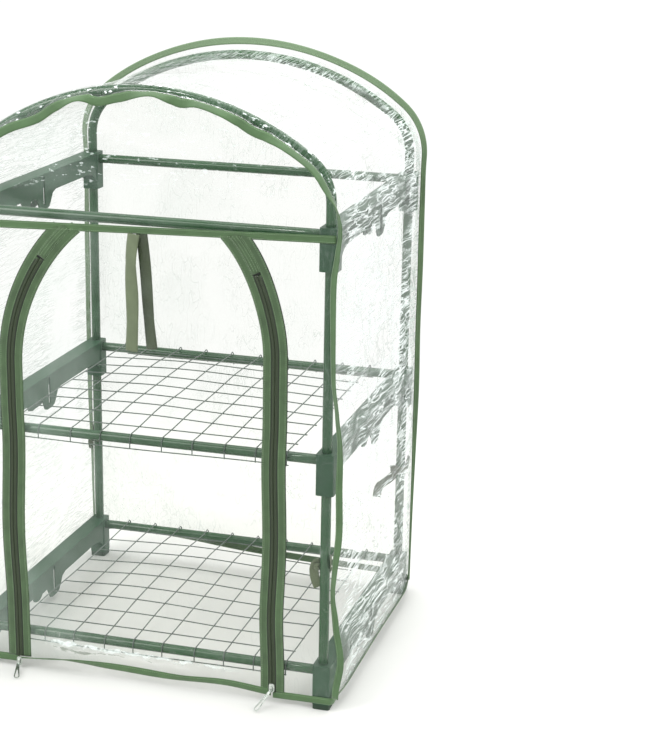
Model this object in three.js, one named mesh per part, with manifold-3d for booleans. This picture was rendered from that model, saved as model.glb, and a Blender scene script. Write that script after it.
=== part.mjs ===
// Mini two-tier greenhouse: push-fit steel tube frame, moulded side brackets, wire mesh shelves and
// a clear film cover with a zipped door. Millimetres, +Z up, front at -Y, ground at z = 0.
// Everything is laid out about the centre of the four posts; the group is then centred on its box.

import * as THREE from "three";
import { mergeVertices } from "three/addons/utils/BufferGeometryUtils.js";
import Module from "manifold-3d";

const wasm = await Module();
wasm.setup();

// ---------------------------------------------------------------- driving dimensions

const POST_X = 283.5; // post axes, half the left to right spacing
const POST_Y = 237; // post axes, half the front to back spacing
const LEVELS = { low: 60, middle: 400, top: 740 }; // axes of the horizontal bars
const TUBE = { radius: 8, bore: 7.5, sides: 12 };
const ARCH = { halfWidth: POST_X, top: 932, shoulder: 80, crown: 417 }; // tube axis
const COVER = { halfWidth: 299.2, top: 941.6, shoulder: 95, crown: 426.6 }; // outer face of the film
const GAP = 0.4; // clearance between neighbouring pieces
const JOIN = 1; // depth by which joined shapes run into each other

const BLOCK = { halfX: 14, halfY: 14, top: 12, bottom: 52, corner: 4, wall: 2 };
const BEAM = { halfX: 12, wall: 2.2, flange: 2.4, web: 21 }; // web: depth below the bar axis
const LOBE = { depth: 48, slotWidth: 6, slotTop: 6, slotBottom: 39, slotY: 6 };
const CORE = 10; // half height of the solid core that takes the horizontal bar
const SPIGOT = { radius: 7, length: 24, sides: 8 };
const BAR_DEPTH = 12; // length of bar inside its block
const FOOT = { half: 13.5, corner: 4, height: 7.6, sleeve: 8, floor: 16 };

const MESH_PITCH = 50;
const WIRE = { halfWidth: 0.95, over: 10.2, hookDrop: 13, overhang: 2.5 }; // over: above the bar axis
const LONG_WIRES = 10; // front to back
const CROSS_WIRES = 9; // left to right, between the hooked ends

const FILM = 0.5; // film and tape solids are thickened for contact
const TAPE = 0.8;
const FACE_Y = 252; // outer faces of the front and back panels
const HEM = { bottom: 10, height: 12 };
const SEAM = { z: 720, tape: 12 }; // the door hangs from this seam
const BINDING = { side: 10, back: 18, inset: -14 }; // flange widths, and how far the front one turns in
const CLEAR = 0.3; // between layers of the cover

// Each zip runs straight up from the hem, then bends inwards towards the seam. slider and the pull's
// yaw and drop (degrees) say where the closed slider stands and how its pull lies on the ground.
const ZIPS = {
  left: { side: -1, bottomX: 216, bendZ: 505, bend: 290, sliderZ: 12, yaw: 21, drop: 10 },
  right: { side: 1, bottomX: 207, bendZ: 550, bend: 259, sliderZ: 28, yaw: -30, drop: 36 },
};
const ZIP_TAPE = 19; // width of each half
const COIL = { width: 2.2, height: 1.3 };
const SLIDER = { width: 9, height: 14, corner: 3, thickness: 2, bridge: 3, pivot: 2 };
const PULL = { length: 40, width: 9, thickness: 1.4, neck: 4, rim: 1.6, opening: 0.45 };

const TIE = { z: 230, height: 14, thickness: 1.4, knot: 10 };
const CORNER_TIES = {
  front_left: { x: -1, y: -1, yaw: 0, tail: 38, lean: 8 },
  front_right: { x: 1, y: -1, yaw: 180, tail: 38, lean: 8 },
  back_left: { x: -1, y: 1, yaw: -100, tail: 30, lean: 4 },
  back_right: { x: 1, y: 1, yaw: 190, tail: 52, lean: 50 },
};
const DOOR_TIE = { length: 172, drop: 4, outerLeft: -25, width: 24, innerLeft: 1, innerWidth: 20 };

// ---------------------------------------------------------------- materials

function material(color, roughness, metalness = 0, opacity = 1) {
  return new THREE.MeshStandardMaterial({ color, roughness, metalness, opacity, transparent: opacity < 1 });
}

const enamel = () => material(0x3d6650, 0.3, 0.2);
const moulding = () => material(0x5c7a68, 0.55);
const footPlastic = () => material(0x30483c, 0.6);
const wireCoat = () => material(0x4f5f57, 0.45, 0.3);
const clearFilm = () => material(0xf2f6f5, 0.15, 0, 0.2);
const greenTape = () => material(0x64875f, 0.8);
const oliveTape = () => material(0x8a9a78, 0.85);
const silver = () => material(0xc8c8c4, 0.3, 0.9);

// ---------------------------------------------------------------- geometry helpers

// Maps from an extrusion's own axes (outline in XY, depth along Z) to an outline standing in the YZ
// plane with its depth along +X, or in the XZ plane with its depth along -Y.
const STAND_YZ = new THREE.Matrix4().makeBasis(
  new THREE.Vector3(0, 1, 0),
  new THREE.Vector3(0, 0, 1),
  new THREE.Vector3(1, 0, 0),
);
const STAND_XZ = new THREE.Matrix4().makeBasis(
  new THREE.Vector3(1, 0, 0),
  new THREE.Vector3(0, 0, 1),
  new THREE.Vector3(0, -1, 0),
);

function toSolid(geometry) {
  const bare = geometry.clone();
  bare.deleteAttribute("normal");
  bare.deleteAttribute("uv");
  const merged = mergeVertices(bare, 1e-4);
  const vertProperties = new Float32Array(merged.attributes.position.array);
  const triVerts = new Uint32Array(merged.index.array);
  return new wasm.Manifold(new wasm.Mesh({ numProp: 3, vertProperties, triVerts }));
}

function toGeometry(solid) {
  const mesh = solid.getMesh();
  const geometry = new THREE.BufferGeometry();
  geometry.setAttribute("position", new THREE.BufferAttribute(new Float32Array(mesh.vertProperties), 3));
  geometry.setIndex(new THREE.BufferAttribute(new Uint32Array(mesh.triVerts), 1));
  geometry.computeVertexNormals();
  return geometry;
}

function combine(added, cut = []) {
  let solid = toSolid(added[0]);
  for (const geometry of added.slice(1)) {
    solid = solid.add(toSolid(geometry));
  }
  for (const geometry of cut) {
    solid = solid.subtract(toSolid(geometry));
  }
  return toGeometry(solid);
}

function box(x0, x1, y0, y1, z0, z1) {
  const geometry = new THREE.BoxGeometry(x1 - x0, y1 - y0, z1 - z0);
  return geometry.translate((x0 + x1) / 2, (y0 + y1) / 2, (z0 + z1) / 2);
}

function prism(shape, depth, stand = null) {
  const geometry = new THREE.ExtrudeGeometry(shape, { depth, bevelEnabled: false, curveSegments: 2 });
  return stand ? geometry.applyMatrix4(stand) : geometry;
}

function circlePoints(radius, sides = TUBE.sides) {
  const points = [];
  for (let i = 0; i < sides; i += 1) {
    const angle = (2 * Math.PI * (i + 0.5)) / sides;
    points.push(new THREE.Vector2(radius * Math.cos(angle), radius * Math.sin(angle)));
  }
  return points;
}

function rod(radius, length, sides = TUBE.sides) {
  return prism(new THREE.Shape(circlePoints(radius, sides)), length);
}

function ringShape(outer, inner, sides = TUBE.sides) {
  const shape = new THREE.Shape(circlePoints(outer, sides));
  shape.holes.push(new THREE.Path(circlePoints(inner, sides)));
  return shape;
}

function roundedRectangle(halfX, halfY, corner) {
  const shape = new THREE.Shape();
  shape.moveTo(-halfX + corner, -halfY);
  shape.lineTo(halfX - corner, -halfY);
  shape.quadraticCurveTo(halfX, -halfY, halfX, -halfY + corner);
  shape.lineTo(halfX, halfY - corner);
  shape.quadraticCurveTo(halfX, halfY, halfX - corner, halfY);
  shape.lineTo(-halfX + corner, halfY);
  shape.quadraticCurveTo(-halfX, halfY, -halfX, halfY - corner);
  shape.lineTo(-halfX, -halfY + corner);
  shape.quadraticCurveTo(-halfX, -halfY, -halfX + corner, -halfY);
  return shape;
}

// A closed outline between two lines that run the same way.
function band(line, otherLine) {
  return new THREE.Shape([...line, ...[...otherLine].reverse()]);
}

function smoothStep(value, start, end) {
  return THREE.MathUtils.smoothstep(value, start, end);
}

// Points of a three-centred arch in the XZ plane, from the right foot over the top to the left one:
// straight legs, a shoulder of small radius each side and a wide crown. offset(z) moves each point
// outwards along the line's normal.
function archLine(arch, foot, steps, offset = () => 0) {
  const b = 2 * arch.crown;
  const c = arch.halfWidth ** 2 - 2 * arch.halfWidth * arch.shoulder + b * arch.shoulder;
  const shoulderZ = arch.top - (b - Math.sqrt(b * b - 4 * c)) / 2;
  const shoulderX = arch.halfWidth - arch.shoulder;
  const crownZ = arch.top - arch.crown;
  const meet = Math.atan2(shoulderZ - crownZ, shoulderX);
  const right = [];
  function station(x, z, angle) {
    const shift = offset(z);
    right.push(new THREE.Vector2(x + Math.cos(angle) * shift, z + Math.sin(angle) * shift));
  }
  for (let i = 0; i < steps.leg; i += 1) {
    station(arch.halfWidth, foot + ((shoulderZ - foot) * i) / steps.leg, 0);
  }
  for (let i = 0; i < steps.shoulder; i += 1) {
    const angle = (meet * i) / steps.shoulder;
    station(shoulderX + arch.shoulder * Math.cos(angle), shoulderZ + arch.shoulder * Math.sin(angle), angle);
  }
  for (let i = 0; i <= steps.crown; i += 1) {
    const angle = meet + ((Math.PI / 2 - meet) * i) / steps.crown;
    station(arch.crown * Math.cos(angle), crownZ + arch.crown * Math.sin(angle), angle);
  }
  const left = right.slice(0, -1).reverse();
  return [...right, ...left.map((point) => new THREE.Vector2(-point.x, point.y))];
}

// Points of a line beside a zip in the XZ plane, from bottom to top. offset is the distance from the
// zip's centre line, positive away from the door.
function zipLine(zip, offset, bottom, top) {
  const radius = zip.bend + offset;
  const points = [new THREE.Vector2(zip.side * (zip.bottomX + offset), bottom)];
  const turn = Math.asin((top - zip.bendZ) / radius);
  const steps = 7;
  for (let i = 0; i <= steps; i += 1) {
    const angle = (turn * i) / steps;
    const x = zip.bottomX - zip.bend + radius * Math.cos(angle);
    points.push(new THREE.Vector2(zip.side * x, zip.bendZ + radius * Math.sin(angle)));
  }
  return points;
}

// ---------------------------------------------------------------- assembly

const greenhouse = new THREE.Group();

function place(name, geometry, surface, x = 0, y = 0, z = 0) {
  const mesh = new THREE.Mesh(geometry, surface);
  mesh.name = name;
  mesh.position.set(x, y, z);
  greenhouse.add(mesh);
  return mesh;
}

const SIDES = { left: -1, right: 1 };
const ENDS = { front: -1, back: 1 };

// ---------------------------------------------------------------- tube frame

function straightTube(length) {
  return prism(ringShape(TUBE.radius, TUBE.bore), length);
}

function addPosts() {
  const tiers = { lower: [LEVELS.low, LEVELS.middle], upper: [LEVELS.middle, LEVELS.top] };
  for (const [tier, [from, to]] of Object.entries(tiers)) {
    const bottom = from + BLOCK.top + GAP;
    const length = to - CORE - GAP - bottom;
    for (const [end, y] of Object.entries(ENDS)) {
      for (const [side, x] of Object.entries(SIDES)) {
        place(`post_${tier}_${end}_${side}`, straightTube(length), enamel(), x * POST_X, y * POST_Y, bottom);
      }
    }
  }
}

function addBars() {
  const reach = POST_X - BLOCK.halfX + BAR_DEPTH - GAP;
  for (const [level, z] of Object.entries(LEVELS)) {
    for (const [end, y] of Object.entries(ENDS)) {
      const bar = place(`bar_${level}_${end}`, straightTube(2 * reach), enamel(), -reach, y * POST_Y, z);
      bar.rotation.y = Math.PI / 2;
    }
  }
}

function archTube() {
  const foot = LEVELS.top + BLOCK.top + GAP;
  const line = archLine(ARCH, foot, { leg: 2, shoulder: 5, crown: 6 });
  const path = new THREE.CatmullRomCurve3(line.map((point) => new THREE.Vector3(point.x, 0, point.y)));
  const shape = ringShape(TUBE.radius, TUBE.bore);
  return new THREE.ExtrudeGeometry(shape, { steps: 20, extrudePath: path, bevelEnabled: false });
}

function addArches() {
  for (const [end, y] of Object.entries(ENDS)) {
    place(`arch_${end}`, archTube(), enamel(), 0, y * POST_Y, 0);
  }
}

// ---------------------------------------------------------------- side brackets

// Side view of the beam's web in the YZ plane: level underside with curved gussets at the blocks, a
// deep lobe at the middle and, in front of it, a small arch and a shallower lobe.
function webShape() {
  const end = POST_Y - BLOCK.halfY + JOIN;
  const level = -BEAM.web;
  const gusset = 40;
  const shape = new THREE.Shape();
  shape.moveTo(-end, BLOCK.top);
  shape.lineTo(-end, level - 16);
  shape.quadraticCurveTo(-end + gusset / 3, level, -end + gusset, level);
  shape.lineTo(-82, level);
  shape.quadraticCurveTo(-76, level - 12, -62, level - 12);
  shape.quadraticCurveTo(-52, level - 12, -49, level - 9);
  shape.quadraticCurveTo(-44, level - 3, -34, level - 3);
  shape.quadraticCurveTo(-20, level - 3, -16, level - 16);
  shape.quadraticCurveTo(-13, -LOBE.depth, -4, -LOBE.depth);
  shape.lineTo(14, -LOBE.depth);
  shape.quadraticCurveTo(27, -LOBE.depth, 31, level - 17);
  shape.quadraticCurveTo(37, level, 52, level);
  shape.lineTo(end - gusset, level);
  shape.quadraticCurveTo(end - gusset / 3, level, end, level - 16);
  shape.lineTo(end, BLOCK.top);
  return shape;
}

// Rounded socket block at one end: an upward spigot for the tube above, a skirt round a downward
// spigot for the tube below, and a blind side hole for the bar. toBar is the bar's side.
function blockPieces(y, toBar) {
  const height = BLOCK.top + BLOCK.bottom;
  const skirt = BLOCK.bottom - CORE;
  const outer = roundedRectangle(BLOCK.halfX, BLOCK.halfY, BLOCK.corner);
  const inner = roundedRectangle(BLOCK.halfX - BLOCK.wall, BLOCK.halfY - BLOCK.wall, BLOCK.corner - 1);
  const body = prism(outer, height).translate(0, y, -BLOCK.bottom);
  const hollow = prism(inner, skirt + JOIN).translate(0, y, -BLOCK.bottom - JOIN);
  const spigot = () => rod(SPIGOT.radius, SPIGOT.length + JOIN, SPIGOT.sides);
  const upper = spigot().translate(0, y, BLOCK.top - JOIN);
  const lower = spigot().translate(0, y, -CORE - SPIGOT.length);
  const bore = rod(TUBE.radius + GAP, BAR_DEPTH + JOIN).rotateY(toBar * (Math.PI / 2));
  bore.translate(toBar * (BLOCK.halfX - BAR_DEPTH), y, 0);
  return { body, hollow, spigots: [upper, lower], bore };
}

function bracket(toBar) {
  const front = blockPieces(-POST_Y, toBar);
  const back = blockPieces(POST_Y, toBar);
  const span = POST_Y - BLOCK.halfY + JOIN;
  const innerHalf = BEAM.halfX - BEAM.wall;
  const beam = prism(webShape(), 2 * BEAM.halfX, STAND_YZ).translate(-BEAM.halfX, 0, 0);
  const flange = box(-BLOCK.halfX, BLOCK.halfX, -span, span, BLOCK.top - BEAM.flange, BLOCK.top);
  const channelSpan = POST_Y - BLOCK.halfY;
  const channelTop = BLOCK.top - BEAM.flange;
  const channel = box(-innerHalf, innerHalf, -channelSpan, channelSpan, -BLOCK.bottom - JOIN, channelTop);
  const slotHalf = LOBE.slotWidth / 2;
  const slot = box(
    -BLOCK.halfX,
    BLOCK.halfX,
    LOBE.slotY - slotHalf,
    LOBE.slotY + slotHalf,
    -LOBE.slotBottom,
    LOBE.slotTop,
  );
  const shell = combine([beam, flange], [channel, slot]);
  const blocks = combine([shell, front.body, back.body], [front.hollow, back.hollow, front.bore, back.bore]);
  return combine([blocks, ...front.spigots, ...back.spigots]);
}

function addBrackets() {
  for (const [side, x] of Object.entries(SIDES)) {
    for (const [level, z] of Object.entries(LEVELS)) {
      place(`bracket_${level}_${side}`, bracket(-x), moulding(), x * POST_X, 0, z);
    }
  }
}

// ---------------------------------------------------------------- feet

// A square cap under the block, with a sleeve that pushes over the block's downward spigot.
function footCap() {
  const sleeveTop = LEVELS.low - CORE - GAP;
  const cap = prism(roundedRectangle(FOOT.half, FOOT.half, FOOT.corner), FOOT.height);
  const sleeve = rod(FOOT.sleeve, sleeveTop - JOIN).translate(0, 0, JOIN);
  const bore = rod(TUBE.bore, sleeveTop).translate(0, 0, FOOT.floor);
  return combine([cap, sleeve], [bore]);
}

function addFeet() {
  for (const [end, y] of Object.entries(ENDS)) {
    for (const [side, x] of Object.entries(SIDES)) {
      place(`foot_${end}_${side}`, footCap(), footPlastic(), x * POST_X, y * POST_Y, 0);
    }
  }
}

// ---------------------------------------------------------------- wire shelves

// One front to back wire: level across the bars, bent down over each of them. Outline in YZ.
function longWire() {
  const over = WIRE.over;
  const diagonal = over * Math.SQRT1_2;
  const line = [
    [-POST_Y - over, -WIRE.hookDrop],
    [-POST_Y - over, 0],
    [-POST_Y - diagonal, diagonal],
    [-POST_Y, over],
    [POST_Y, over],
    [POST_Y + diagonal, diagonal],
    [POST_Y + over, 0],
    [POST_Y + over, -WIRE.hookDrop],
  ].map(([y, z]) => new THREE.Vector2(y, z));
  const sides = [-WIRE.halfWidth, WIRE.halfWidth].map((shift) => line.map((point, i) => {
    const before = line[Math.max(i - 1, 0)];
    const after = line[Math.min(i + 1, line.length - 1)];
    const along = after.clone().sub(before).normalize();
    return new THREE.Vector2(point.x - along.y * shift, point.y + along.x * shift);
  }));
  return prism(band(sides[0], sides[1]), 2 * WIRE.halfWidth, STAND_YZ).translate(-WIRE.halfWidth, 0, 0);
}

function crossWire(y, z) {
  const half = (MESH_PITCH * (LONG_WIRES - 1)) / 2 + WIRE.overhang;
  const w = WIRE.halfWidth;
  return box(-half, half, y - w, y + w, z - w, z + w);
}

function shelf() {
  const wires = [];
  for (let i = 0; i < LONG_WIRES; i += 1) {
    wires.push(longWire().translate((i - (LONG_WIRES - 1) / 2) * MESH_PITCH, 0, 0));
  }
  const under = WIRE.over - 1.5 * WIRE.halfWidth;
  for (let i = 0; i < CROSS_WIRES; i += 1) {
    wires.push(crossWire((i - (CROSS_WIRES - 1) / 2) * MESH_PITCH, under));
  }
  wires.push(crossWire(-POST_Y - WIRE.over + WIRE.halfWidth / 2, -WIRE.hookDrop));
  wires.push(crossWire(POST_Y + WIRE.over - WIRE.halfWidth / 2, -WIRE.hookDrop));
  return combine(wires);
}

function addShelves() {
  place("shelf_lower", shelf(), wireCoat(), 0, 0, LEVELS.low);
  place("shelf_middle", shelf(), wireCoat(), 0, 0, LEVELS.middle);
}

// ---------------------------------------------------------------- film cover

const PANEL_Y = FACE_Y - FILM; // inner faces of the front and back panels
const TAPE_Y = FACE_Y + CLEAR; // inner faces of the tapes sewn over them
const HEM_TOP = HEM.bottom + HEM.height;
const FILM_BOTTOM = HEM.bottom + 2;
const SPLIT_Z = 770; // the wrap's side panels end and its roof begins
const ARCH_STEPS = { leg: 1, shoulder: 5, crown: 6 };

function addWrap() {
  const length = 2 * (PANEL_Y - CLEAR);
  const outer = archLine(COVER, SPLIT_Z, ARCH_STEPS);
  const inner = archLine(COVER, SPLIT_Z, ARCH_STEPS, () => -FILM);
  const roof = prism(band(outer, inner), length, STAND_XZ);
  place("cover_roof", roof, clearFilm(), 0, length / 2, 0);
  for (const [side, x] of Object.entries(SIDES)) {
    const wall = box(-FILM / 2, FILM / 2, -length / 2, length / 2, FILM_BOTTOM, SPLIT_Z - CLEAR);
    place(`cover_side_${side}`, wall, clearFilm(), x * (COVER.halfWidth - FILM / 2), 0, 0);
  }
}

function addBackPanel() {
  const outline = new THREE.Shape(archLine(COVER, FILM_BOTTOM, ARCH_STEPS));
  place("cover_back", prism(outline, FILM, STAND_XZ), clearFilm(), 0, FACE_Y, 0);
}

function addFrontPanels() {
  const gable = new THREE.Shape(archLine(COVER, SEAM.z + 2, ARCH_STEPS));
  place("cover_gable", prism(gable, FILM, STAND_XZ), clearFilm(), 0, -PANEL_Y, 0);
  for (const [side, zip] of Object.entries(ZIPS)) {
    const inner = zipLine(zip, 1, FILM_BOTTOM, SEAM.z);
    const outer = inner.map((point) => new THREE.Vector2(zip.side * COVER.halfWidth, point.y));
    const strip = prism(band(inner, [outer[0], outer.at(-1)]), FILM, STAND_XZ);
    place(`cover_strip_${side}`, strip, clearFilm(), 0, -PANEL_Y, 0);
  }
}

// The front binding stands out beside the posts and turns in over the arch; the back one stands out
// all the way round.
function addEdgeBindings() {
  const steps = { leg: 12, shoulder: 5, crown: 6 };
  const turn = (z) => smoothStep(z, LEVELS.top, LEVELS.top + 70);
  const inward = (z) => (BINDING.inset - 1) * turn(z);
  const frontInner = archLine(COVER, HEM_TOP + GAP, steps, (z) => 1 + inward(z));
  const frontOuter = archLine(COVER, HEM_TOP + GAP, steps, (z) => 1 + BINDING.side + inward(z));
  const front = prism(band(frontInner, frontOuter), TAPE, STAND_XZ);
  place("binding_front", front, greenTape(), 0, -TAPE_Y, 0);
  const swell = (z) => (BINDING.back - BINDING.side) * smoothStep(z, SEAM.z, ARCH.top);
  const backInner = archLine(COVER, HEM_TOP + GAP, ARCH_STEPS, () => GAP);
  const backOuter = archLine(COVER, HEM_TOP + GAP, ARCH_STEPS, (z) => BINDING.side + swell(z));
  const back = prism(band(backInner, backOuter), 2 * TAPE, STAND_XZ);
  place("binding_back", back, greenTape(), 0, FACE_Y, 0);
}

// One strip round the bottom of the cover, open across the door.
function addHems() {
  const inner = new THREE.Vector2(COVER.halfWidth + CLEAR, TAPE_Y);
  const outer = new THREE.Vector2(inner.x + TAPE, inner.y + TAPE);
  const doorLeft = -ZIPS.left.bottomX - 1;
  const doorRight = ZIPS.right.bottomX + 1;
  const outside = [
    [doorRight, -outer.y],
    [outer.x, -outer.y],
    [outer.x, outer.y],
    [-outer.x, outer.y],
    [-outer.x, -outer.y],
    [doorLeft, -outer.y],
  ];
  const inside = [
    [doorRight, -inner.y],
    [inner.x, -inner.y],
    [inner.x, inner.y],
    [-inner.x, inner.y],
    [-inner.x, -inner.y],
    [doorLeft, -inner.y],
  ];
  const toLine = (corners) => corners.map(([x, y]) => new THREE.Vector2(x, y));
  place("hem_cover", prism(band(toLine(inside), toLine(outside)), HEM.height), greenTape(), 0, 0, HEM.bottom);
  const doorHem = box(doorLeft + 2, doorRight - 2, -TAPE_Y - TAPE, -TAPE_Y, 0, HEM.height);
  place("hem_door", doorHem, greenTape(), 0, 0, HEM.bottom);
}

function addSeamTape() {
  const half = COVER.halfWidth - 3;
  const strip = box(-half, half, -TAPE, 0, 0, SEAM.tape);
  place("seam_tape", strip, greenTape(), 0, -TAPE_Y, SEAM.z + 1);
}

// ---------------------------------------------------------------- door and zips

function zipHalf(zip, direction) {
  const bottom = HEM_TOP + 1;
  const top = SEAM.z - 5;
  const edge = zipLine(zip, direction * CLEAR, bottom, top);
  const tapeEdge = zipLine(zip, direction * ZIP_TAPE, bottom, top);
  const coilEdge = zipLine(zip, direction * COIL.width, bottom, top);
  const tape = prism(band(edge, tapeEdge), TAPE, STAND_XZ);
  const coil = prism(band(edge, coilEdge), TAPE + COIL.height, STAND_XZ);
  return combine([tape, coil]);
}

function addZips() {
  for (const [side, zip] of Object.entries(ZIPS)) {
    place(`zip_outer_${side}`, zipHalf(zip, 1), greenTape(), 0, -TAPE_Y, 0);
    place(`zip_inner_${side}`, zipHalf(zip, -1), greenTape(), 0, -TAPE_Y, 0);
  }
}

function addDoor() {
  const left = zipLine(ZIPS.left, -1, FILM_BOTTOM, SEAM.z - 1);
  const right = zipLine(ZIPS.right, -1, FILM_BOTTOM, SEAM.z - 1);
  place("door_film", prism(band(left, right), FILM, STAND_XZ), clearFilm(), 0, -PANEL_Y, 0);
}

function sliderBody() {
  const { width, height, thickness, bridge } = SLIDER;
  const plate = prism(roundedRectangle(width / 2, height / 2, SLIDER.corner), thickness, STAND_XZ);
  const loop = box(-bridge / 2, bridge / 2, -thickness - bridge, -thickness + 1, -height / 2 + 1, height / 4);
  const eye = box(-bridge, bridge, -thickness - bridge / 2, -thickness, -height / 2 + 2.5, height / 4 - 1.5);
  return combine([plate, loop], [eye]);
}

// A flat drop-shaped tab with a long opening and a small eye at its neck, pointing along -Y.
function pullTab() {
  const { length, width, thickness, neck, rim } = PULL;
  const outline = new THREE.Shape();
  outline.moveTo(-neck / 2, 0);
  outline.lineTo(-width / 2, -length + width / 2);
  outline.quadraticCurveTo(-width / 2, -length, 0, -length);
  outline.quadraticCurveTo(width / 2, -length, width / 2, -length + width / 2);
  outline.lineTo(neck / 2, 0);
  const opening = new THREE.Path();
  const openingStart = -length * PULL.opening;
  opening.moveTo(-rim / 2, openingStart);
  opening.lineTo(-width / 2 + rim, -length + width / 2);
  opening.quadraticCurveTo(-width / 2 + rim, -length + rim, 0, -length + rim);
  opening.quadraticCurveTo(width / 2 - rim, -length + rim, width / 2 - rim, -length + width / 2);
  opening.lineTo(rim / 2, openingStart);
  outline.holes.push(opening);
  return prism(outline, thickness).translate(0, 0, -thickness / 2);
}

function addSliders() {
  const faceY = -TAPE_Y - TAPE - COIL.height - GAP;
  const pivotY = faceY - SLIDER.thickness - SLIDER.bridge - SLIDER.pivot;
  for (const [side, zip] of Object.entries(ZIPS)) {
    const x = zip.side * zip.bottomX;
    place(`slider_${side}`, sliderBody(), silver(), x, faceY, zip.sliderZ);
    const pull = place(`pull_${side}`, pullTab(), silver(), x, pivotY, zip.sliderZ - 2);
    pull.rotation.order = "ZXY";
    pull.rotation.z = THREE.MathUtils.degToRad(zip.yaw);
    pull.rotation.x = THREE.MathUtils.degToRad(zip.drop);
  }
}

// ---------------------------------------------------------------- ties

// A strap round a post with its knot and a drooping tail on the +X side.
function cornerTie({ tail, lean }) {
  const inner = TUBE.radius + GAP;
  const outer = inner + TIE.thickness;
  const loop = prism(ringShape(outer, inner), TIE.height).translate(0, 0, -TIE.height / 2);
  const knotHalf = TIE.knot / 2;
  const knot = box(inner + GAP, inner + GAP + TIE.knot, -knotHalf, knotHalf, -knotHalf, knotHalf);
  const strap = box(-TIE.thickness, TIE.thickness, -TIE.height / 2, TIE.height / 2, -tail, 0);
  strap.rotateY(-THREE.MathUtils.degToRad(lean)).translate(inner + knotHalf, 0, 0);
  return combine([loop, knot, strap]);
}

function addCornerTies() {
  for (const [corner, tie] of Object.entries(CORNER_TIES)) {
    const mesh = place(`tie_${corner}`, cornerTie(tie), oliveTape(), tie.x * POST_X, tie.y * POST_Y, TIE.z);
    mesh.rotation.z = THREE.MathUtils.degToRad(tie.yaw);
  }
}

// Two straps hang from the seam at the middle of the door, one outside it and one inside.
function addDoorTies() {
  const top = SEAM.z - DOOR_TIE.drop;
  const outer = box(0, DOOR_TIE.width, -TAPE, 0, -DOOR_TIE.length, 0);
  place("door_tie_outer", outer, oliveTape(), DOOR_TIE.outerLeft, -TAPE_Y, top);
  const inner = box(0, DOOR_TIE.innerWidth, 0, TAPE, -DOOR_TIE.length, 0);
  place("door_tie_inner", inner, oliveTape(), DOOR_TIE.innerLeft, -PANEL_Y + CLEAR, top);
}

// ---------------------------------------------------------------- build

addPosts();
addBars();
addArches();
addBrackets();
addFeet();
addShelves();
addWrap();
addBackPanel();
addFrontPanels();
addEdgeBindings();
addHems();
addSeamTape();
addZips();
addDoor();
addSliders();
addCornerTies();
addDoorTies();

const extent = new THREE.Box3().setFromObject(greenhouse, true);
greenhouse.position.y = -(extent.min.y + extent.max.y) / 2;

export default greenhouse;
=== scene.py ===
"""Looks of the mini greenhouse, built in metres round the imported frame.

+X is right, -Y is the zipped front and +Z is up. Film, tapes, tubes, wires and ties are new meshes that
stand for their CAD nodes. The brackets, feet and zip metal keep their CAD shape and get rounded edges.
"""
from math import atan2, copysign, cos, hypot, pi, radians, sin, sqrt

import bmesh
import bpy
import numpy as np
from mathutils import Matrix, Vector


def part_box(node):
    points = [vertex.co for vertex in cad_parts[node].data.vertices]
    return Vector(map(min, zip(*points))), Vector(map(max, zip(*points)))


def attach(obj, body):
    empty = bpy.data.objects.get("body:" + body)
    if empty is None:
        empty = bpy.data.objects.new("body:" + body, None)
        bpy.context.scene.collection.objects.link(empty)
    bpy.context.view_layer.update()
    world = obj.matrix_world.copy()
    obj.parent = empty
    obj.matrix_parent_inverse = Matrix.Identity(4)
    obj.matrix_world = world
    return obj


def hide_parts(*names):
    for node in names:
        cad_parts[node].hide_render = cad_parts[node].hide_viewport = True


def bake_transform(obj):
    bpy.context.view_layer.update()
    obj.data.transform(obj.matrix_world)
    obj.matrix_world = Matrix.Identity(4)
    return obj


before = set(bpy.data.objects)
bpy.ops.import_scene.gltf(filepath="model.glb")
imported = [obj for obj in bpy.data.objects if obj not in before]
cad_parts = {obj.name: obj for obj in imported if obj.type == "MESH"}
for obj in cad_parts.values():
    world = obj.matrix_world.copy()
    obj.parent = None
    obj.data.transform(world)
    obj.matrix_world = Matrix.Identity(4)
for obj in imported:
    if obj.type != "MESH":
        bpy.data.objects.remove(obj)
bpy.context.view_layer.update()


def middle(node):
    low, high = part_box(node)
    return (low + high) / 2


# ---- places from the frame

POST_X = middle("post_lower_front_right").x
FRONT_Y = middle("post_lower_front_right").y
BACK_Y = middle("post_lower_back_right").y
MID_Y = (FRONT_Y + BACK_Y) / 2
BAR_Z = {level: middle(f"bar_{level}_front").z for level in ("low", "middle", "top")}
TUBE_R = (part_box("bar_low_front")[1].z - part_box("bar_low_front")[0].z) / 2
FILM_FRONT = middle("cover_gable").y
FILM_BACK = middle("cover_back").y
TAPE_FRONT = middle("seam_tape").y
COVER_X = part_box("cover_side_right")[1].x
COVER_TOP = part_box("cover_roof")[1].z
ARCH_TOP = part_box("arch_front")[1].z - TUBE_R
HEM_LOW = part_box("hem_cover")[0].z
HEM_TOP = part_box("hem_cover")[1].z
SEAM_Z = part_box("seam_tape")[0].z
FILM_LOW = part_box("cover_back")[0].z

# ---- sizes of its own, in metres

ARCH_RADII = {"shoulder": 0.080, "crown": 0.417}  # tube axis
COVER_RADII = {"shoulder": 0.095, "crown": 0.4266}
# Each zip runs straight up and then bends in: its side, its distance from the middle, the height and
# radius of the bend, and the height where its coil ends.
ZIPS = {
    "left": {"side": -1, "x": 0.216, "bend_z": 0.505, "bend": 0.290, "coil_top": 0.672},
    "right": {"side": 1, "x": 0.207, "bend_z": 0.550, "bend": 0.259, "coil_top": 0.668},
}
ZIP_TAPE = 0.0190  # width of each half
TAPE = 0.0009  # thickness of a zip's tape
MESH_PITCH = 0.05
LONG_WIRES = 10
CROSS_WIRES = 9
WIRE_R = 0.00095
TIE_WIDTH = 0.019

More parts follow.
